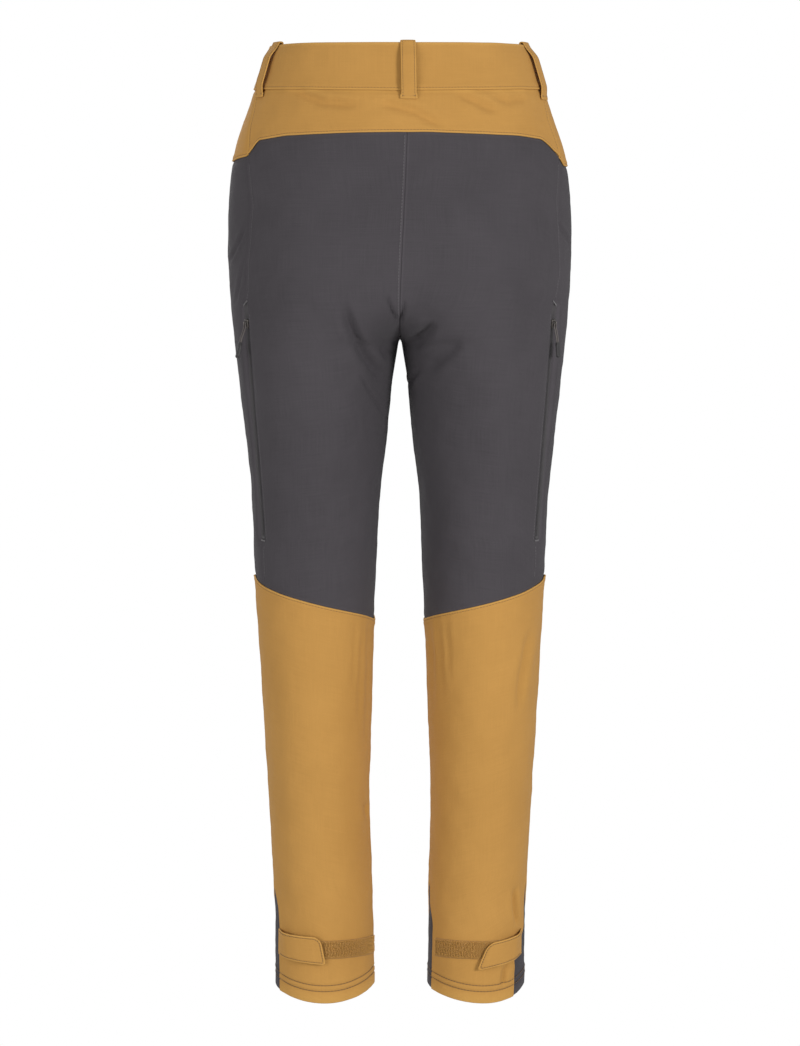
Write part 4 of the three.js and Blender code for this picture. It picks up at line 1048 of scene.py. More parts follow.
loop_columns = np.array([-1, -0.985, -0.93, -0.84, -0.775, -0.71, -0.45, -0.15, 0.15, 0.45, 0.71, 0.775, 0.84,
                         0.93, 0.985, 1])
loop_rise = np.array([-1.2, -0.7, -0.2, 0, -0.28, 0.02, 0.08, 0.1, 0.1, 0.08, 0.02, -0.28, 0, -0.2, -0.7,
                      -1.2]) / 1000
rows, tacks = [], []
for name, (side, angle) in loops.items():
    loop_drop = loop_feet.get(name, loop_foot)

    def lay_loop(column, row, columns, rows):
        path = loop_run(rows + 1, name)
        drop, stand = path[row, 0], path[row, 1]
        wide = loop_half * (1 + 0.14 * ease((drop - loop_drop + 0.0035) / 0.0015))
        outward, _ = loop_frame(side, angle)
        upward = np.gradient(path, axis=0)
        upward = np.stack([upward[row, 0], -upward[row, 1]], axis=1)
        upward /= np.linalg.norm(upward, axis=1, keepdims=True)
        facing = upward[:, :1] * outward + upward[:, 1:] * np.array([0, 0, -1.0])
        return on_loop(side, angle, wide * loop_columns[column], drop, stand), loop_rise[column], facing

    piece, size, area = cloth_grid(f"{name}_strip", len(loop_columns) - 1, 64, lay_loop)
    wall = piece.modifiers.new("cloth_thickness", "SOLIDIFY")
    wall.thickness = 0.0015
    wall.offset = -1
    dress(piece, ochre, "ochre_cloth", "garment", name)
    path = loop_run(200, name)
    path = path[(path[:, 1] > 0.002) & (path[:, 0] < loop_drop - 0.001)]
    outward, sideways = loop_frame(side, angle)
    facing = np.broadcast_to(outward, (len(path), 3))
    for edge in (-0.775, 0.775):
        rows.append((on_loop(side, angle, np.full(len(path), edge * loop_half), path[:, 0],
                             path[:, 1] - 0.0001), facing))
    spread = np.linspace(-loop_half * 0.86, loop_half * 0.86, 30)
    tacks.append((on_loop(side, angle, spread, np.full(30, loop_drop - 0.0015), np.full(30, 0.0031)),
                  np.broadcast_to(outward, (30, 3))))
sewn("belt_loop_topstitch", rows, dark_thread, pitch=0.0030, length=0.0023, thick=0.0005)


def tacked(name, rows, width, finish, body="garment", pitch=0.00045, thick=0.0005):
    """Bar tacks: threads lying close together across each row."""
    bm = bmesh.new()
    bmesh.ops.create_uvsphere(bm, u_segments=6, v_segments=6, radius=0.5)
    bmesh.ops.rotate(bm, matrix=Matrix.Rotation(math.pi / 2, 3, "X"), verts=bm.verts)
    bmesh.ops.scale(bm, vec=(thick, width, thick), verts=bm.verts)
    centres, bases = [], []
    for places, outward in rows:
        run = np.concatenate([[0], np.linalg.norm(np.diff(places, axis=0), axis=1).cumsum()])
        spots = np.arange(pitch / 2, run[-1], pitch)
        centre = np.stack([np.interp(spots, run, places[:, k]) for k in range(3)], axis=1)
        up = np.stack([np.interp(spots, run, outward[:, k]) for k in range(3)], axis=1)
        along = np.broadcast_to((places[-1] - places[0]) / np.linalg.norm(places[-1] - places[0]), up.shape)
        across = np.cross(up, along)
        across /= np.linalg.norm(across, axis=1, keepdims=True)
        centres.append(centre)
        bases.append(np.stack([along, across, np.cross(along, across)], axis=1))
    return copies(name, bm, np.concatenate(centres), np.concatenate(bases), finish, body)


tacked("belt_loop_bar_tacks", tacks, 0.0020, dark_thread)


# Waist tab: the right front end of the band laps over the left one and closes with a 13 mm ring snap.
# The cap is on the tab, with its socket behind; the stud stands on the band.
tab_root, tab_reach, tab_height, tab_mid = 0.022, 0.040, 0.040, band_height / 2
tab_stand, tab_thick = 0.0024, 0.002
snap_x = -0.016


def front_outward(side, angle, drop):
    right, left = outward_of(1, angle, drop), outward_of(-1, angle, drop)
    return np.where((np.asarray(side) > 0)[..., None], right, left)


tab_rim = [(0, -0.0012), (0.0003, -0.0004), (0.0009, 0.0002), (0.0018, 0.0001), (0.0025, -0.0003),
           (0.0032, 0.0001), (0.005, 0.0001)]


def rounded_corner(p, q, radius):
    """Draws a point of a square corner in onto a round one; p and q are metres in from its two edges."""
    inside = (p < radius) & (q < radius)
    a, b = (radius - p) / radius, (radius - q) / radius
    pull = np.where(inside, np.maximum(a, b) / np.maximum(np.hypot(a, b), 1e-9), 1)
    return np.where(inside, radius * (1 - a * pull), p), np.where(inside, radius * (1 - b * pull), q)


def lay_waist_tab(column, row, columns, rows):
    reach = laid_out(column, columns, 0.0, tab_root + tab_reach, butted, tab_rim, 1, 1)
    down = laid_out(row, rows, 0.0, tab_height, tab_rim, tab_rim, 1, 1)
    stand = rim_stand(column, columns, [(0, -0.0008)], tab_rim) + rim_stand(row, rows, tab_rim, tab_rim)
    far = tab_root + tab_reach - reach
    low = tab_height - down
    far_top, down_round = rounded_corner(far, down, 0.009)
    far_low, low_round = rounded_corner(far, low, 0.009)
    upper = down < tab_height / 2
    far = np.where(upper, far_top, far_low)
    down = np.where(upper, down_round, tab_height - low_round)
    x = far - tab_reach
    drop = tab_mid - tab_height / 2 + down
    side = np.where(x < 0, -1, 1)
    angle = -np.arccos(np.abs(x) / section(drop)[1])
    bare = on_body(side, angle, drop)
    lift = 0.0005 + (tab_stand - 0.0005) * ease(reach / (tab_root + tab_reach) / 0.2)
    return bare, np.maximum(stand, -0.0016) + lift + tab_thick + 0.0004, front_outward(side, angle, drop)


piece, size, area = cloth_grid("waist_tab_cloth", 46, 34, lay_waist_tab)
wall = piece.modifiers.new("cloth_thickness", "SOLIDIFY")
wall.thickness = 0.0019
wall.offset = -1
dress(piece, ochre, "ochre_cloth", "waist_tab", "waist_tab")

edge = np.linspace(0, 1, 60)
top_edge = np.stack([tab_root - 0.004 - edge * (tab_root + tab_reach - 0.0095), np.full(60, 0.0025)], axis=1)
turn = np.linspace(math.pi / 2, math.pi, 14)
corner = np.stack([-tab_reach + 0.009 + 0.0065 * np.cos(turn), 0.009 - 0.0065 * np.sin(turn)], axis=1)
outline = np.concatenate([top_edge, corner, [[-tab_reach + 0.0025, tab_height / 2]]])
outline = np.concatenate([outline, (outline * (1, -1) + (0, tab_height))[::-1]])
x, drop = outline[:, 0], tab_mid - tab_height / 2 + outline[:, 1]
side = np.where(x < 0, -1, 1)
angle = -np.arccos(np.abs(x) / section(drop)[1])
facing = front_outward(side, angle, drop)
places = on_body(side, angle, drop) + facing * (tab_stand + tab_thick + 0.0003)
sewn("waist_tab_topstitch", [(places, facing)], dark_thread, "waist_tab", pitch=0.0030,
     length=0.0023, thick=0.0005)


def metal_finish(name, colour, rough):
    finish = bpy.data.materials.new(name)
    finish.use_nodes = True
    tree = finish.node_tree
    shader = tree.nodes["Principled BSDF"]
    where = add_node(tree, "ShaderNodeTexCoord").outputs["Object"]
    wear = add_node(tree, "ShaderNodeTexNoise", None, Vector=where, Scale=700.0, Detail=4.0).outputs[0]
    worn = add_node(tree, "ShaderNodeMapRange", None, _0=wear, _1=0.3, _2=0.7, _3=rough,
                    _4=rough + 0.18).outputs[0]
    tree.links.new(worn, shader.inputs["Roughness"])
    tint = add_node(tree, "ShaderNodeMix", {"data_type": "RGBA"}, _0=wear, _6=(*[c * 0.8 for c in colour], 1),
                    _7=(*colour, 1)).outputs[2]
    tree.links.new(tint, shader.inputs["Base Color"])
    relief = add_node(tree, "ShaderNodeBump", None, Strength=0.25, Distance=0.00005, Height=wear)
    tree.links.new(relief.outputs[0], shader.inputs["Normal"])
    shader.inputs["Metallic"].default_value = 1
    return finish


snap_metal = metal_finish("brushed_snap_metal", (0.42, 0.40, 0.38), 0.28)


def turned(name, profile, matrix, around=40):
    """A round part from a profile of (radius, height) points, its axis along +Z of the matrix."""
    bm = bmesh.new()
    bmesh.ops.create_grid(bm, x_segments=around, y_segments=len(profile) - 1, size=0.5)
    for v in bm.verts:
        turn = (v.co.x + 0.5) * 2 * math.pi
        radius, height = profile[round((v.co.y + 0.5) * (len(profile) - 1))]
        v.co = (radius * math.cos(turn) / 1000, radius * math.sin(turn) / 1000, height / 1000)
    bmesh.ops.remove_doubles(bm, verts=bm.verts, dist=1e-7)
    bmesh.ops.recalc_face_normals(bm, faces=bm.faces)
    bm.transform(matrix)
    return new_piece(name, bm)


snap_angle = -math.acos(-snap_x / section(np.array(tab_mid))[1])
snap_out = Vector(outward_of(-1, snap_angle, tab_mid))
snap_turn = snap_out.to_track_quat("Z", "Y").to_matrix().to_4x4()
snap_matrix = Matrix.Translation(Vector(on_body(-1, snap_angle, tab_mid))) @ snap_turn
outer = 1000 * (tab_stand + tab_thick)
cap = [(0, 2.2), (1.4, 2.2), (1.4, outer + 0.4), (5.6, outer + 0.45), (6.3, outer + 0.5),
       (6.5, outer + 0.75), (6.45, outer + 1.1), (6.1, outer + 1.4), (5.6, outer + 1.45),
       (5.2, outer + 1.3), (5.0, outer + 1.25), (4.6, outer + 1.45), (3.6, outer + 1.75),
       (2.2, outer + 1.98), (0.9, outer + 2.08), (0, outer + 2.1)]
piece = turned("snap_cap_turned", cap, snap_matrix)
dress(piece, snap_metal, "snap_metal", "waist_tab", "snap_cap")
socket = [(2.25, 0.8), (2.45, 0.7), (4.2, 0.7), (4.55, 0.85), (4.6, 1.2), (4.5, 1.7), (4.1, 2.0), (2.5, 2.05),
          (2.25, 1.9), (2.25, 0.8)]
piece = turned("snap_socket_turned", socket, snap_matrix)
dress(piece, snap_metal, "snap_metal", "waist_tab", "snap_socket")
stud = [(0, 0.1), (4.1, 0.1), (4.4, 0.2), (4.4, 0.35), (4.0, 0.5), (1.9, 0.5), (1.55, 0.7), (1.6, 0.95),
        (1.9, 1.25), (1.85, 1.5), (1.5, 1.72), (0.8, 1.8), (0, 1.8)]
piece = turned("snap_stud_turned", stud, snap_matrix)
dress(piece, snap_metal, "snap_metal", "garment", "snap_stud")


# Zips: nylon coil on woven tape, 5.6 mm across the coil, with a cast slider and a pull that swings on it.
# The thigh zips open the leg for air and have cord pulls; the pocket and fly zips have flat ones.
fly_top, fly_lean, fly_length = np.array((0, 0.0916, -0.0549)), np.array((0, 0.0614, -0.9981)), 0.1423
frames["fly"] = zip_frame(fly_top, fly_top + fly_length * fly_lean, (0, 1, 0))

tape = cloth_finish("zip_tape_weave", (0.060, 0.055, 0.058), (0.028, 0.026, 0.028), 1700, 0.5, 0.0001, 0.05)


def nylon_finish(name, colour, rough, scale):
    finish = bpy.data.materials.new(name)
    finish.use_nodes = True
    tree = finish.node_tree
    shader = tree.nodes["Principled BSDF"]
    where = add_node(tree, "ShaderNodeTexCoord").outputs["Object"]
    grain = add_node(tree, "ShaderNodeTexNoise", None, Vector=where, Scale=scale, Detail=3.0).outputs[0]
    tint = add_node(tree, "ShaderNodeMix", {"data_type": "RGBA"}, _0=grain,
                    _6=(*[c * 0.7 for c in colour], 1),
                    _7=(*[c * 1.25 for c in colour], 1)).outputs[2]
    tree.links.new(tint, shader.inputs["Base Color"])
    relief = add_node(tree, "ShaderNodeBump", None, Strength=0.3, Distance=0.00008, Height=grain)
    tree.links.new(relief.outputs[0], shader.inputs["Normal"])
    shader.inputs["Roughness"].default_value = rough
    return finish


coil_nylon = nylon_finish("zip_coil_nylon", (0.035, 0.032, 0.034), 0.42, 900.0)
moulded = nylon_finish("moulded_rubber", (0.026, 0.024, 0.025), 0.62, 1500.0)
cord_braid = nylon_finish("braided_cord", (0.115, 0.100, 0.094), 0.7, 2600.0)
painted_slider = metal_finish("painted_slider_metal", (0.15, 0.135, 0.125), 0.34)


def add_block(bm, low, high, edge, shape=None):
    """A block with rounded edges between two corners, in millimetres; shape moves its corners first."""
    made = bmesh.ops.create_cube(bm, size=1.0)["verts"]
    for v in made:
        spot = Vector(l + (h - l) * (c + 0.5) for l, h, c in zip(low, high, v.co))
        v.co = (shape(spot) if shape else spot) / 1000
    edges = list({e for v in made for e in v.link_edges})
    bmesh.ops.bevel(bm, geom=edges, offset=edge / 1000, segments=2, profile=0.5, affect="EDGES", material=-1)


def swept(name, centres, wides, thicks, around=14, power=2.0, out=(0, 0, 1)):
    """A closed bar along centres with oval or squared sections, all in millimetres."""
    centres = np.asarray(centres, float)
    ahead = np.gradient(centres, axis=0)
    ahead /= np.linalg.norm(ahead, axis=1, keepdims=True)
    across = np.cross(ahead, np.broadcast_to(out, ahead.shape))
    across /= np.linalg.norm(across, axis=1, keepdims=True)
    up = np.cross(across, ahead)
    count = len(centres) + 1
    bm = bmesh.new()
    bmesh.ops.create_grid(bm, x_segments=around, y_segments=count, size=0.5)
    for v in bm.verts:
        turn = (v.co.x + 0.5) * 2 * math.pi
        k = round((v.co.y + 0.5) * count) - 1
        at = min(max(k, 0), len(centres) - 1)
        size = 0 if k < 0 or k >= len(centres) else 1
        c, s = math.cos(turn), math.sin(turn)
        shrink = (abs(c) ** power + abs(s) ** power) ** (-1 / power)
        rim = c * wides[at] * across[at] + s * thicks[at] * up[at]
        v.co = Vector(centres[at] + size * shrink * rim) / 1000
    bmesh.ops.remove_doubles(bm, verts=bm.verts, dist=1e-7)
    bmesh.ops.recalc_face_normals(bm, faces=bm.faces)
    return bm


def lay_tape(matrix, length, depth=-0.0003):
    def lay(column, row, columns, rows):
        x = 0.009 * (2 * column / columns - 1)
        y = 0.018 - (length + 0.026) * row / rows
        local = np.stack([x, y, np.full(len(x), depth)], axis=1)
        turn = np.array(matrix.to_3x3())
        bare = local @ turn.T + np.array(matrix.translation)
        wave = 0.00012 * np.sin(y * 180)
        return bare, wave, np.broadcast_to(turn[:, 2], bare.shape)
    return lay


coil_pitch = 0.0014
for label, (matrix, length) in frames.items():
    kind, _, where_label = label.partition("_")
    node = f"{kind}_zip_{where_label}" if where_label else f"{kind}_zip"
    turn = np.array(matrix.to_3x3())
    piece, size, area = cloth_grid(f"{node}_tape", 10, max(20, int(length / 0.004)), lay_tape(matrix, length))
    wall = piece.modifiers.new("cloth_thickness", "SOLIDIFY")
    wall.thickness = 0.0006
    wall.offset = 0
    dress(piece, tape, "zip_tape", "garment", node)
    bm = bmesh.new()
    bmesh.ops.create_uvsphere(bm, u_segments=8, v_segments=5, radius=0.5)
    bmesh.ops.rotate(bm, matrix=Matrix.Rotation(math.pi / 2, 3, "Y"), verts=bm.verts)
    bmesh.ops.scale(bm, vec=(0.0032, 0.0010, 0.0017), verts=bm.verts)
    y = -np.arange(0.0008, length - 0.0030, coil_pitch / 2)
    sign = np.where(np.arange(len(y)) % 2 == 0, 1, -1)
    local = np.stack([sign * 0.0012, y, np.zeros(len(y))], axis=1)
    copies(f"{node}_coil", bm, local @ turn.T + np.array(matrix.translation),
           np.broadcast_to(turn.T, (len(y), 3, 3)), coil_nylon, "garment")
    bm = bmesh.new()
    add_block(bm, (-3.2, -1000 * length, -1.1), (3.2, -1000 * length + 3, 1.1), 0.4)
    bm.transform(matrix)
    piece = new_piece(f"{node}_bottom_stop", bm)
    dress(piece, coil_nylon, "zip_tape", "garment", node)

    def shoulder(spot):
        return Vector((spot.x * (1 if spot.y > -5 else 0.86), spot.y, spot.z))

    bm = bmesh.new()
    add_block(bm, (-4.6, -4.0, 1.4), (4.6, 0, 2.4), 0.4)
    add_block(bm, (-4.6, -9.5, 1.4), (4.6, -3.6, 2.35), 0.4, shoulder)
    add_block(bm, (-4.6, -4.0, -2.4), (4.6, 0, -1.4), 0.4)
    add_block(bm, (-4.6, -9.5, -2.35), (4.6, -3.6, -1.4), 0.4, shoulder)
    add_block(bm, (-0.3, -3.5, -1.8), (0.3, -0.4, 1.8), 0.12)
    for x in (-4.05, 4.05):
        for z in (-1.15, 1.15):
            add_block(bm, (x - 0.55, -9.3, z - 0.35), (x + 0.55, -0.2, z + 0.35), 0.2, shoulder)
    add_block(bm, (-0.8, -7.5, 2.1), (0.8, -6.5, 5.3), 0.3)
    add_block(bm, (-0.8, -3.0, 2.1), (0.8, -2.0, 5.3), 0.3)
    add_block(bm, (-0.8, -7.5, 4.4), (0.8, -2.0, 5.4), 0.4)
    bm.transform(matrix)
    slider_node = f"{kind}_slider_{where_label}" if where_label else f"{kind}_slider"
    piece = new_piece(f"{slider_node}_cast", bm)
    dress(piece, painted_slider, "zip_slider", slider_node, slider_node)

    down = Vector((0, 0, -1))
    out, up = matrix.to_3x3().col[2], matrix.to_3x3().col[1]
    lean = max(0, math.atan2(down.dot(out), -down.dot(up))) if kind == "side" else 0
    swing = matrix @ Matrix.Translation((0, -0.00475, 0.0034)) @ Matrix.Rotation(-lean, 4, "X")
    pull_body = f"{kind}_pull_{where_label}" if where_label else f"{kind}_pull"
    if kind == "side":
        splay, bow = (0.16, 0.27) if where_label == "left" else (-0.06, 0.08)
        strand = [(1.65, -19.6, 1.8), (1.75, -17, 1.8), (2.0, -11.4, 1.45), (2.25, -6, 0.8), (2.2, -3, 0.2),
                  (1.54, -0.7, 0)]
        points = [(-x, y, z) for x, y, z in strand] + [(0, 0, 0)] + [(x, y, z) for x, y, z in strand[::-1]]
        points = np.array(points)
        run = np.linspace(0, len(points) - 1, 90)
        smooth = np.stack([smooth_through([(k, p) for k, p in enumerate(points[:, axis])], 1, run)
                           for axis in range(3)], axis=1)

        def splayed(spots):
            spots = spots.copy()
            hanging = np.maximum(-spots[:, 1] - 3, 0) * ease(-spots[:, 1] / 14)
            spots[:, 0] += splay * hanging
            spots[:, 2] += bow * hanging
            return spots

        bm = swept("cord", splayed(smooth), np.full(90, 0.65), np.full(90, 0.65), 12)
        bm.transform(swing)
        piece = new_piece(f"side_pull_cord_{where_label}_loop", bm)
        dress(piece, cord_braid, "pull_cord", pull_body, f"side_pull_cord_{where_label}")
        y = np.linspace(-19.4, -35.4, 66)
        along = (-19.4 - y) / 16
        rounding = np.sqrt(np.clip(1 - np.maximum(along - 0.86, 0) ** 2 / 0.0225, 0.08, 1))
        wides = 3.8 * (0.72 + 0.28 * ease(along / 0.25)) * rounding
        thicks = 1.6 * (1 - 0.18 * (np.cos(y * 2 * math.pi / 2.0) > 0.2) * ((along > 0.2) & (along < 0.8)))
        thicks = thicks * np.sqrt(np.clip(1 - np.maximum(along - 0.9, 0) ** 2 / 0.0144, 0.12, 1))
        centres = splayed(np.stack([np.zeros(66), y, np.full(66, 1.8)], axis=1))
        bm = swept("end", centres, wides, thicks, 28, 4.0)
        bm.transform(swing)
        piece = new_piece(f"side_pull_end_{where_label}_moulded", bm)
        dress(piece, moulded, "moulded_pull", pull_body, f"side_pull_end_{where_label}")
        continue
    bm = bmesh.new()
    bmesh.ops.create_grid(bm, x_segments=12, y_segments=40, size=0.5)
    for v in bm.verts:
        x, y = 5.8 * v.co.x, 0.6 - 20.6 * (0.5 - v.co.y)
        far = y + 20
        if far < 2 and abs(x) > 0.9:
            p, q = (abs(x) - 0.9) / 2, (2 - far) / 2
            pull = max(p, q) / max(math.hypot(p, q), 1e-9)
            x, y = math.copysign(0.9 + 2 * p * pull, x), -18 - 2 * q * pull
        v.co = (x / 1000, y / 1000, 0)
    window = [f for f in bm.faces
              if abs(f.calc_center_median().x) < 0.0017 and -0.005 < f.calc_center_median().y < -0.0006]
    bmesh.ops.delete(bm, geom=window, context="FACES")
    bm.transform(swing)
    piece = new_piece(f"{pull_body}_pressed", bm, smooth=False)
    wall = piece.modifiers.new("plate_thickness", "SOLIDIFY")
    wall.thickness = 0.0012
    wall.offset = 0
    round_off = piece.modifiers.new("rounded_edges", "BEVEL")
    round_off.width = 0.0003
    round_off.segments = 2
    dress(piece, painted_slider, "zip_slider", pull_body, pull_body)

tacks = []
for label, side in sides.items():
    for line, drop, tilt in ((side_seam, side_zip_top - garage - 0.002, 0.0026),
                             (side_seam, side_zip_end + 0.002, 0.0),
                             (front_seam, hand_zip_top - 0.004, 0.0),
                             (front_seam, hand_zip_bottom + 0.005, 0.0)):
        reach = np.linspace(-0.0052, 0.0052, 24)
        angles = line(drop) + reach / stride(line(drop), drop)
        tacks.append(seam_row(side, angles, drop - tilt * reach / 0.0052, stand=0.0010))
tacked("zip_end_bar_tacks", tacks, 0.0018, charcoal_thread)


# Ankle tabs: doubled cloth sewn in at the outer end, drawn back across the calf to take in the hem.
# The free end has one rounded corner, and a hook pad beneath that grips the pile patch.
tab_root_turn = 28 * degrees
# For each side: drops of the root's two corners, then turn and drop of the free end's two corners.
ankle_tabs = {
    "right": (0.9562, 0.9842, 79, 0.9655, 90.5, 0.9955),
    "left": (0.9562, 0.9847, 88, 0.9585, 93.5, 0.9895),
}
patch_stand, patch_thick, pad_thick, layer_gap = 0.0008, 0.0012, 0.001, 0.0008
tip_stand = patch_stand + patch_thick + layer_gap + pad_thick + layer_gap
tab_cloth = 0.0013
tab_length = {label: math.radians(0.5 * (corners[2] + corners[4]) - 28) * 0.056
              for label, corners in ankle_tabs.items()}
end_rim = [(0, -0.0010), (0.0004, -0.0002), (0.0011, 0.0002), (0.0017, 0.0), (0.0022, -0.0003), (0.0028, 0.0),
           (0.0045, 0.0001)]


def on_ankle_tab(label, share, across):
    """A place on the tab: share runs from its sewn end to its free end, across from top to bottom."""
    side = sides[label]
    root_top, root_low, turn_top, drop_top, turn_low, drop_low = ankle_tabs[label]
    tip_turn = degrees * (turn_top + (turn_low - turn_top) * across)
    angle = tab_root_turn + (tip_turn - tab_root_turn) * share
    upper = root_top + (drop_top - root_top) * share
    lower = root_low + (drop_low - root_low) * share
    drop = upper * (1 - across) + lower * across
    bare, outward = on_body(side, angle, drop), outward_of(side, angle, drop)
    lift = layer_gap + (tip_stand - layer_gap) * ease(share / 0.35) + tab_cloth
    lift = lift + 0.0022 * np.sin(math.pi * np.clip(share / 0.9, 0, 1)) * (1 - across) ** 2
    return bare, outward, lift + 0.8 * draped(bare, outward)


for label, side in sides.items():
    tall = 0.5 * sum(ankle_tabs[label][k] * s for k, s in ((0, -1), (1, 1), (3, -1), (5, 1)))
    long = tab_length[label]

    def lay_ankle_tab(column, row, columns, rows):
        reach = laid_out(column, columns, 0.0, long, butted, end_rim, 1, 1)
        down = laid_out(row, rows, 0.0, tall, end_rim, end_rim, 1, 1)
        stand = rim_stand(column, columns, [(0, -0.0006)], end_rim) + rim_stand(row, rows, end_rim, end_rim)
        far, below = rounded_corner(long - reach, down, 0.0085)
        far_low, below_low = rounded_corner(long - reach, tall - down, 0.0035)
        upper = down < tall / 2
        far, down = np.where(upper, far, far_low), np.where(upper, below, tall - below_low)
        bare, outward, lift = on_ankle_tab(label, 1 - far / long, down / tall)
        return bare, np.maximum(stand, -0.0013) + lift, outward

    piece, size, area = cloth_grid(f"ankle_tab_cloth_{label}", 44, 26, lay_ankle_tab)
    wall = piece.modifiers.new("cloth_thickness", "SOLIDIFY")
    wall.thickness = 0.0013
    wall.offset = -1
    dress(piece, ochre, "ochre_cloth", f"ankle_tab_{label}", f"ankle_tab_{label}")
    inset = 0.0022
    flat = [(0.003, inset), (long - 0.0085, inset)]
    flat += [(long - 0.0085 + 0.0063 * math.sin(t), 0.0085 - 0.0063 * math.cos(t))
             for t in np.linspace(0.1, math.pi / 2, 10)]
    flat += [(long - inset, tall - 0.005), (long - 0.0035, tall - inset), (0.003, tall - inset)]
    flat = np.array(flat)
    length = np.concatenate([[0], np.linalg.norm(np.diff(flat, axis=0), axis=1).cumsum()])
    along = np.linspace(0, length[-1], 200)
    spots = np.stack([np.interp(along, length, flat[:, k]) for k in range(2)], axis=1)
    bare, outward, lift = on_ankle_tab(label, spots[:, 0] / long, spots[:, 1] / tall)
    sewn(f"ankle_tab_topstitch_{label}", [(bare + outward * (lift + 0.0001)[:, None], outward)], dark_thread,
         f"ankle_tab_{label}", pitch=0.0028, length=0.0023, thick=0.0007)


# Hook-and-loop: woven patches with a deep loop pile on the calf, and moulded hook pads under the tabs.
# The patches slope down a little towards the outer side, as the tabs do.
loop_pile = cloth_finish("loop_pile_ground", (0.34, 0.175, 0.042), (0.22, 0.110, 0.026), 1500, 0.9, 0.0002,
                         0.15)
pile_thread = thread_finish("pile_thread", (0.70, 0.38, 0.075), (0.40, 0.205, 0.038))
patch_start, patch_end, patch_tall = 64 * degrees, 172 * degrees, 0.0200


def patch_middle(angle):
    return 0.9735 + 0.0050 * (1 - np.sin(np.maximum(angle, math.pi / 2)))


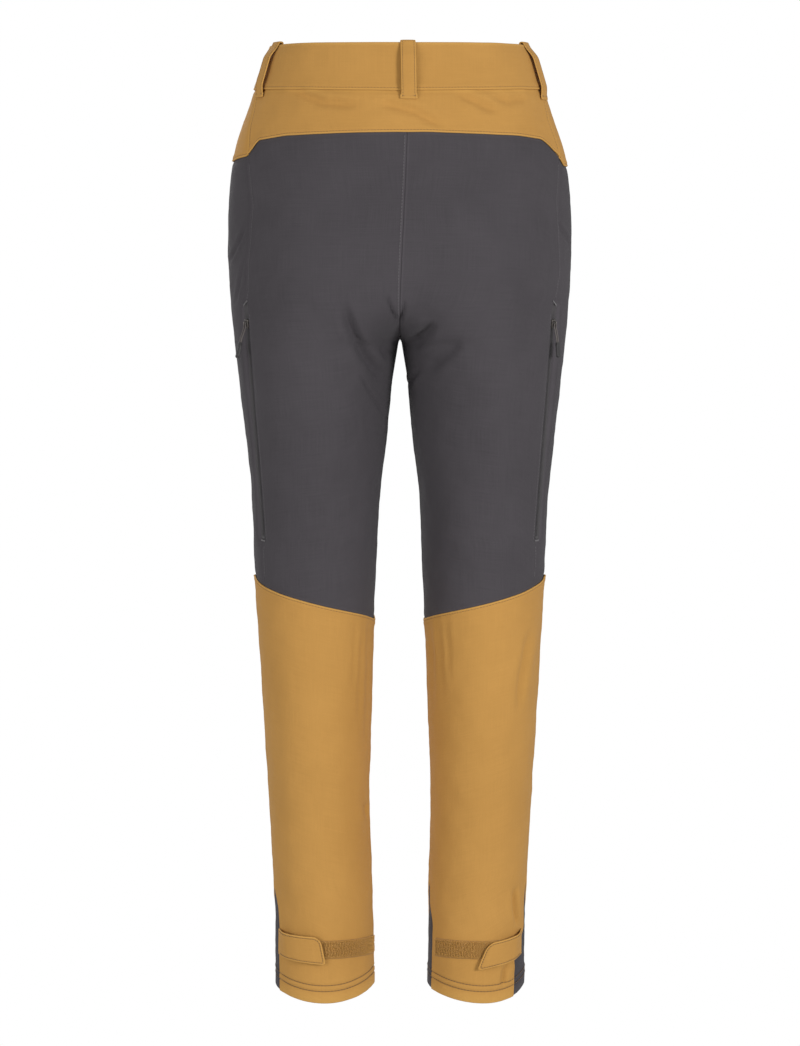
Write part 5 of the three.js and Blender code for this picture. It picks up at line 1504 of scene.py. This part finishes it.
rng = np.random.default_rng(40)
patch_rims = [(0, -0.0006), (0.0005, 0.0), (0.0012, 0.0001)]
for label, side in sides.items():
    last = patch_end if side < 0 else 146 * degrees

    def lay_patch(column, row, columns, rows):
        angle = laid_out(column, columns, patch_start, last, patch_rims, patch_rims, 0.056, 0.056)
        drop = patch_middle(angle) + laid_out(row, rows, -patch_tall / 2, patch_tall / 2, patch_rims,
                                              patch_rims, 1, 1)
        bare, outward = on_body(side, angle, drop), outward_of(side, angle, drop)
        stand = rim_stand(column, columns, patch_rims, patch_rims)
        stand = stand + rim_stand(row, rows, patch_rims, patch_rims)
        return bare, stand + patch_stand + 0.0006 + draped(bare, outward), outward

    piece, size, area = cloth_grid(f"loop_patch_ground_{label}", 60, 16, lay_patch)
    wall = piece.modifiers.new("cloth_thickness", "SOLIDIFY")
    wall.thickness = 0.0006
    wall.offset = -1
    dress(piece, loop_pile, "loop_pile", "garment", f"loop_patch_{label}")

    bm = bmesh.new()
    bmesh.ops.create_grid(bm, x_segments=6, y_segments=4, size=0.5)
    for v in bm.verts:
        bend = math.pi * (v.co.x + 0.5)
        ring = 2 * math.pi * (v.co.y + 0.5)
        radius = 0.00075 + 0.0002 * math.cos(ring)
        v.co = (radius * math.cos(bend), 0.0002 * math.sin(ring), radius * math.sin(bend) * 1.25)
    bmesh.ops.remove_doubles(bm, verts=bm.verts, dist=1e-7)
    bmesh.ops.recalc_face_normals(bm, faces=bm.faces)
    wide = (last - patch_start) * 0.056
    wales, courses = int(wide / 0.00105), int((patch_tall - 0.002) / 0.00125)
    wale, course = (grid.ravel() for grid in np.meshgrid(np.arange(wales), np.arange(courses)))
    angle = patch_start + (wale + 0.8 + 0.25 * rng.normal(size=len(wale))
                           + 0.6 * np.sin(course * 0.9 + 0.4 * np.sin(wale))) * 0.00105 / 0.056
    angle = np.clip(angle, patch_start + 0.02, last - 0.02)
    course_drop = (course + 0.2 * rng.normal(size=len(course))) * 0.00125
    drop = patch_middle(angle) - patch_tall / 2 + 0.0014 + course_drop
    bare, outward = on_body(side, angle, drop), outward_of(side, angle, drop)
    ridge = 0.5 + 0.5 * np.cos(wale * 2 * math.pi / 3)
    size_up = (0.45 + 0.85 * ridge + 0.2 * rng.random(len(wale)))[:, None, None]
    under_tab = angle < 1.6
    size_up[under_tab] *= 0.6
    centre = bare + outward * (draped(bare, outward) + patch_stand + 0.0005)[:, None]
    twist = 1.2 * rng.normal(size=len(wale))[:, None]
    down = np.array([0, 0, -1.0]) - outward * outward[:, 2:] * -1
    down /= np.linalg.norm(down, axis=1, keepdims=True)
    across = np.cross(down, outward)
    first = across * np.cos(twist) + down * np.sin(twist)
    basis = np.stack([first, np.cross(outward, first), outward], axis=1) * size_up
    copies(f"loop_patch_pile_{label}", bm, centre, basis, pile_thread, "garment")

    pad_last = (0.5 * (ankle_tabs[label][2] + ankle_tabs[label][4]) - 4) * degrees

    def on_pad(angle, across):
        share = (angle - tab_root_turn) / (degrees * 90 - tab_root_turn)
        return on_ankle_tab(label, share, across)

    def lay_pad(column, row, columns, rows):
        angle = patch_start + 2 * degrees + (pad_last - patch_start - 2 * degrees) * column / columns
        bare, outward, lift = on_pad(angle, 0.24 + 0.52 * row / rows)
        return bare, lift - tab_cloth - 0.0003, outward

    piece, size, area = cloth_grid(f"tab_hook_pad_{label}_ground", 14, 12, lay_pad)
    wall = piece.modifiers.new("pad_thickness", "SOLIDIFY")
    wall.thickness = 0.0004
    wall.offset = -1
    dress(piece, loop_pile, "hook_tape", f"ankle_tab_{label}", f"tab_hook_pad_{label}")
    bm = bmesh.new()
    bmesh.ops.create_cone(bm, cap_ends=True, segments=5, radius1=0.00022, radius2=0.0003, depth=0.0006)
    angle, across = (grid.ravel() for grid in np.meshgrid(
        np.linspace(patch_start + 3 * degrees, pad_last - 1 * degrees, 15), np.linspace(0.26, 0.74, 16)))
    bare, outward, lift = on_pad(angle, across)
    down = np.array([0, 0, -1.0]) + outward * outward[:, 2:]
    down /= np.linalg.norm(down, axis=1, keepdims=True)
    basis = np.stack([np.cross(down, outward), down, -outward], axis=1)
    copies(f"tab_hook_pad_{label}_hooks", bm, bare + outward * (lift - tab_cloth - 0.0009)[:, None], basis,
           pile_thread, f"ankle_tab_{label}")


# Linings: a shield behind the fly, pocket bags behind the hand pockets and mesh behind the thigh zips.
# They hang free inside, sewn only along the zip tapes and the waist seam.
mesh_net = cloth_finish("pocket_net", (0.050, 0.046, 0.050), (0.012, 0.011, 0.012), 620, 0.3, 0.0005, 0.0)
for label, side in sides.items():
    def bag_front(d):
        spread = ease((d - hand_zip_top) / (hand_zip_bottom - hand_zip_top))
        return front_seam(d) - degrees * (30 + 14 * spread)

    piece, size, area = cut_panel(
        f"hand_pocket_bag_cloth_{label}", side, bag_front, lambda d: front_seam(d) + 10 * degrees,
        flat_line(hand_zip_top - 0.022), flat_line(hand_zip_bottom + 0.038), (folded, folded, folded, folded),
        cell=0.006, lift=-0.0102, slack=False)
    dress(piece, charcoal, "charcoal_cloth", "garment", f"hand_pocket_bag_{label}")
    piece, size, area = cut_panel(
        f"vent_mesh_net_{label}", side,
        lambda d: side_seam(d) - 12 * degrees, lambda d: side_seam(d) + 12 * degrees,
        flat_line(side_zip_top - 0.012), flat_line(side_zip_end + 0.012), (folded, folded, folded, folded),
        cell=0.006, thick=0.0006, lift=-0.0078, slack=False)
    dress(piece, mesh_net, "pocket_mesh", "garment", f"vent_mesh_{label}")


def lay_shield(column, row, columns, rows):
    down = row / rows
    drop = 0.050 + (fly_bottom + 0.010 - 0.050) * down
    x = (2 * column / columns - 1) * 0.024 * (1 - 0.35 * down ** 2)
    centre, half, end, _, _ = section(drop)
    turn = np.minimum(np.arccos(np.clip((np.abs(x) - centre) / half, -1, 1)), end)
    side = np.where(x < 0, -1, 1)
    return on_body(side, -turn, drop), np.full(len(row), -0.0155), front_outward(side, -turn, drop)


piece, size, area = cloth_grid("fly_shield_cloth", 16, 36, lay_shield)
wall = piece.modifiers.new("cloth_thickness", "SOLIDIFY")
wall.thickness = 0.0009
wall.offset = -1
dress(piece, ochre, "ochre_cloth", "garment", "fly_shield")
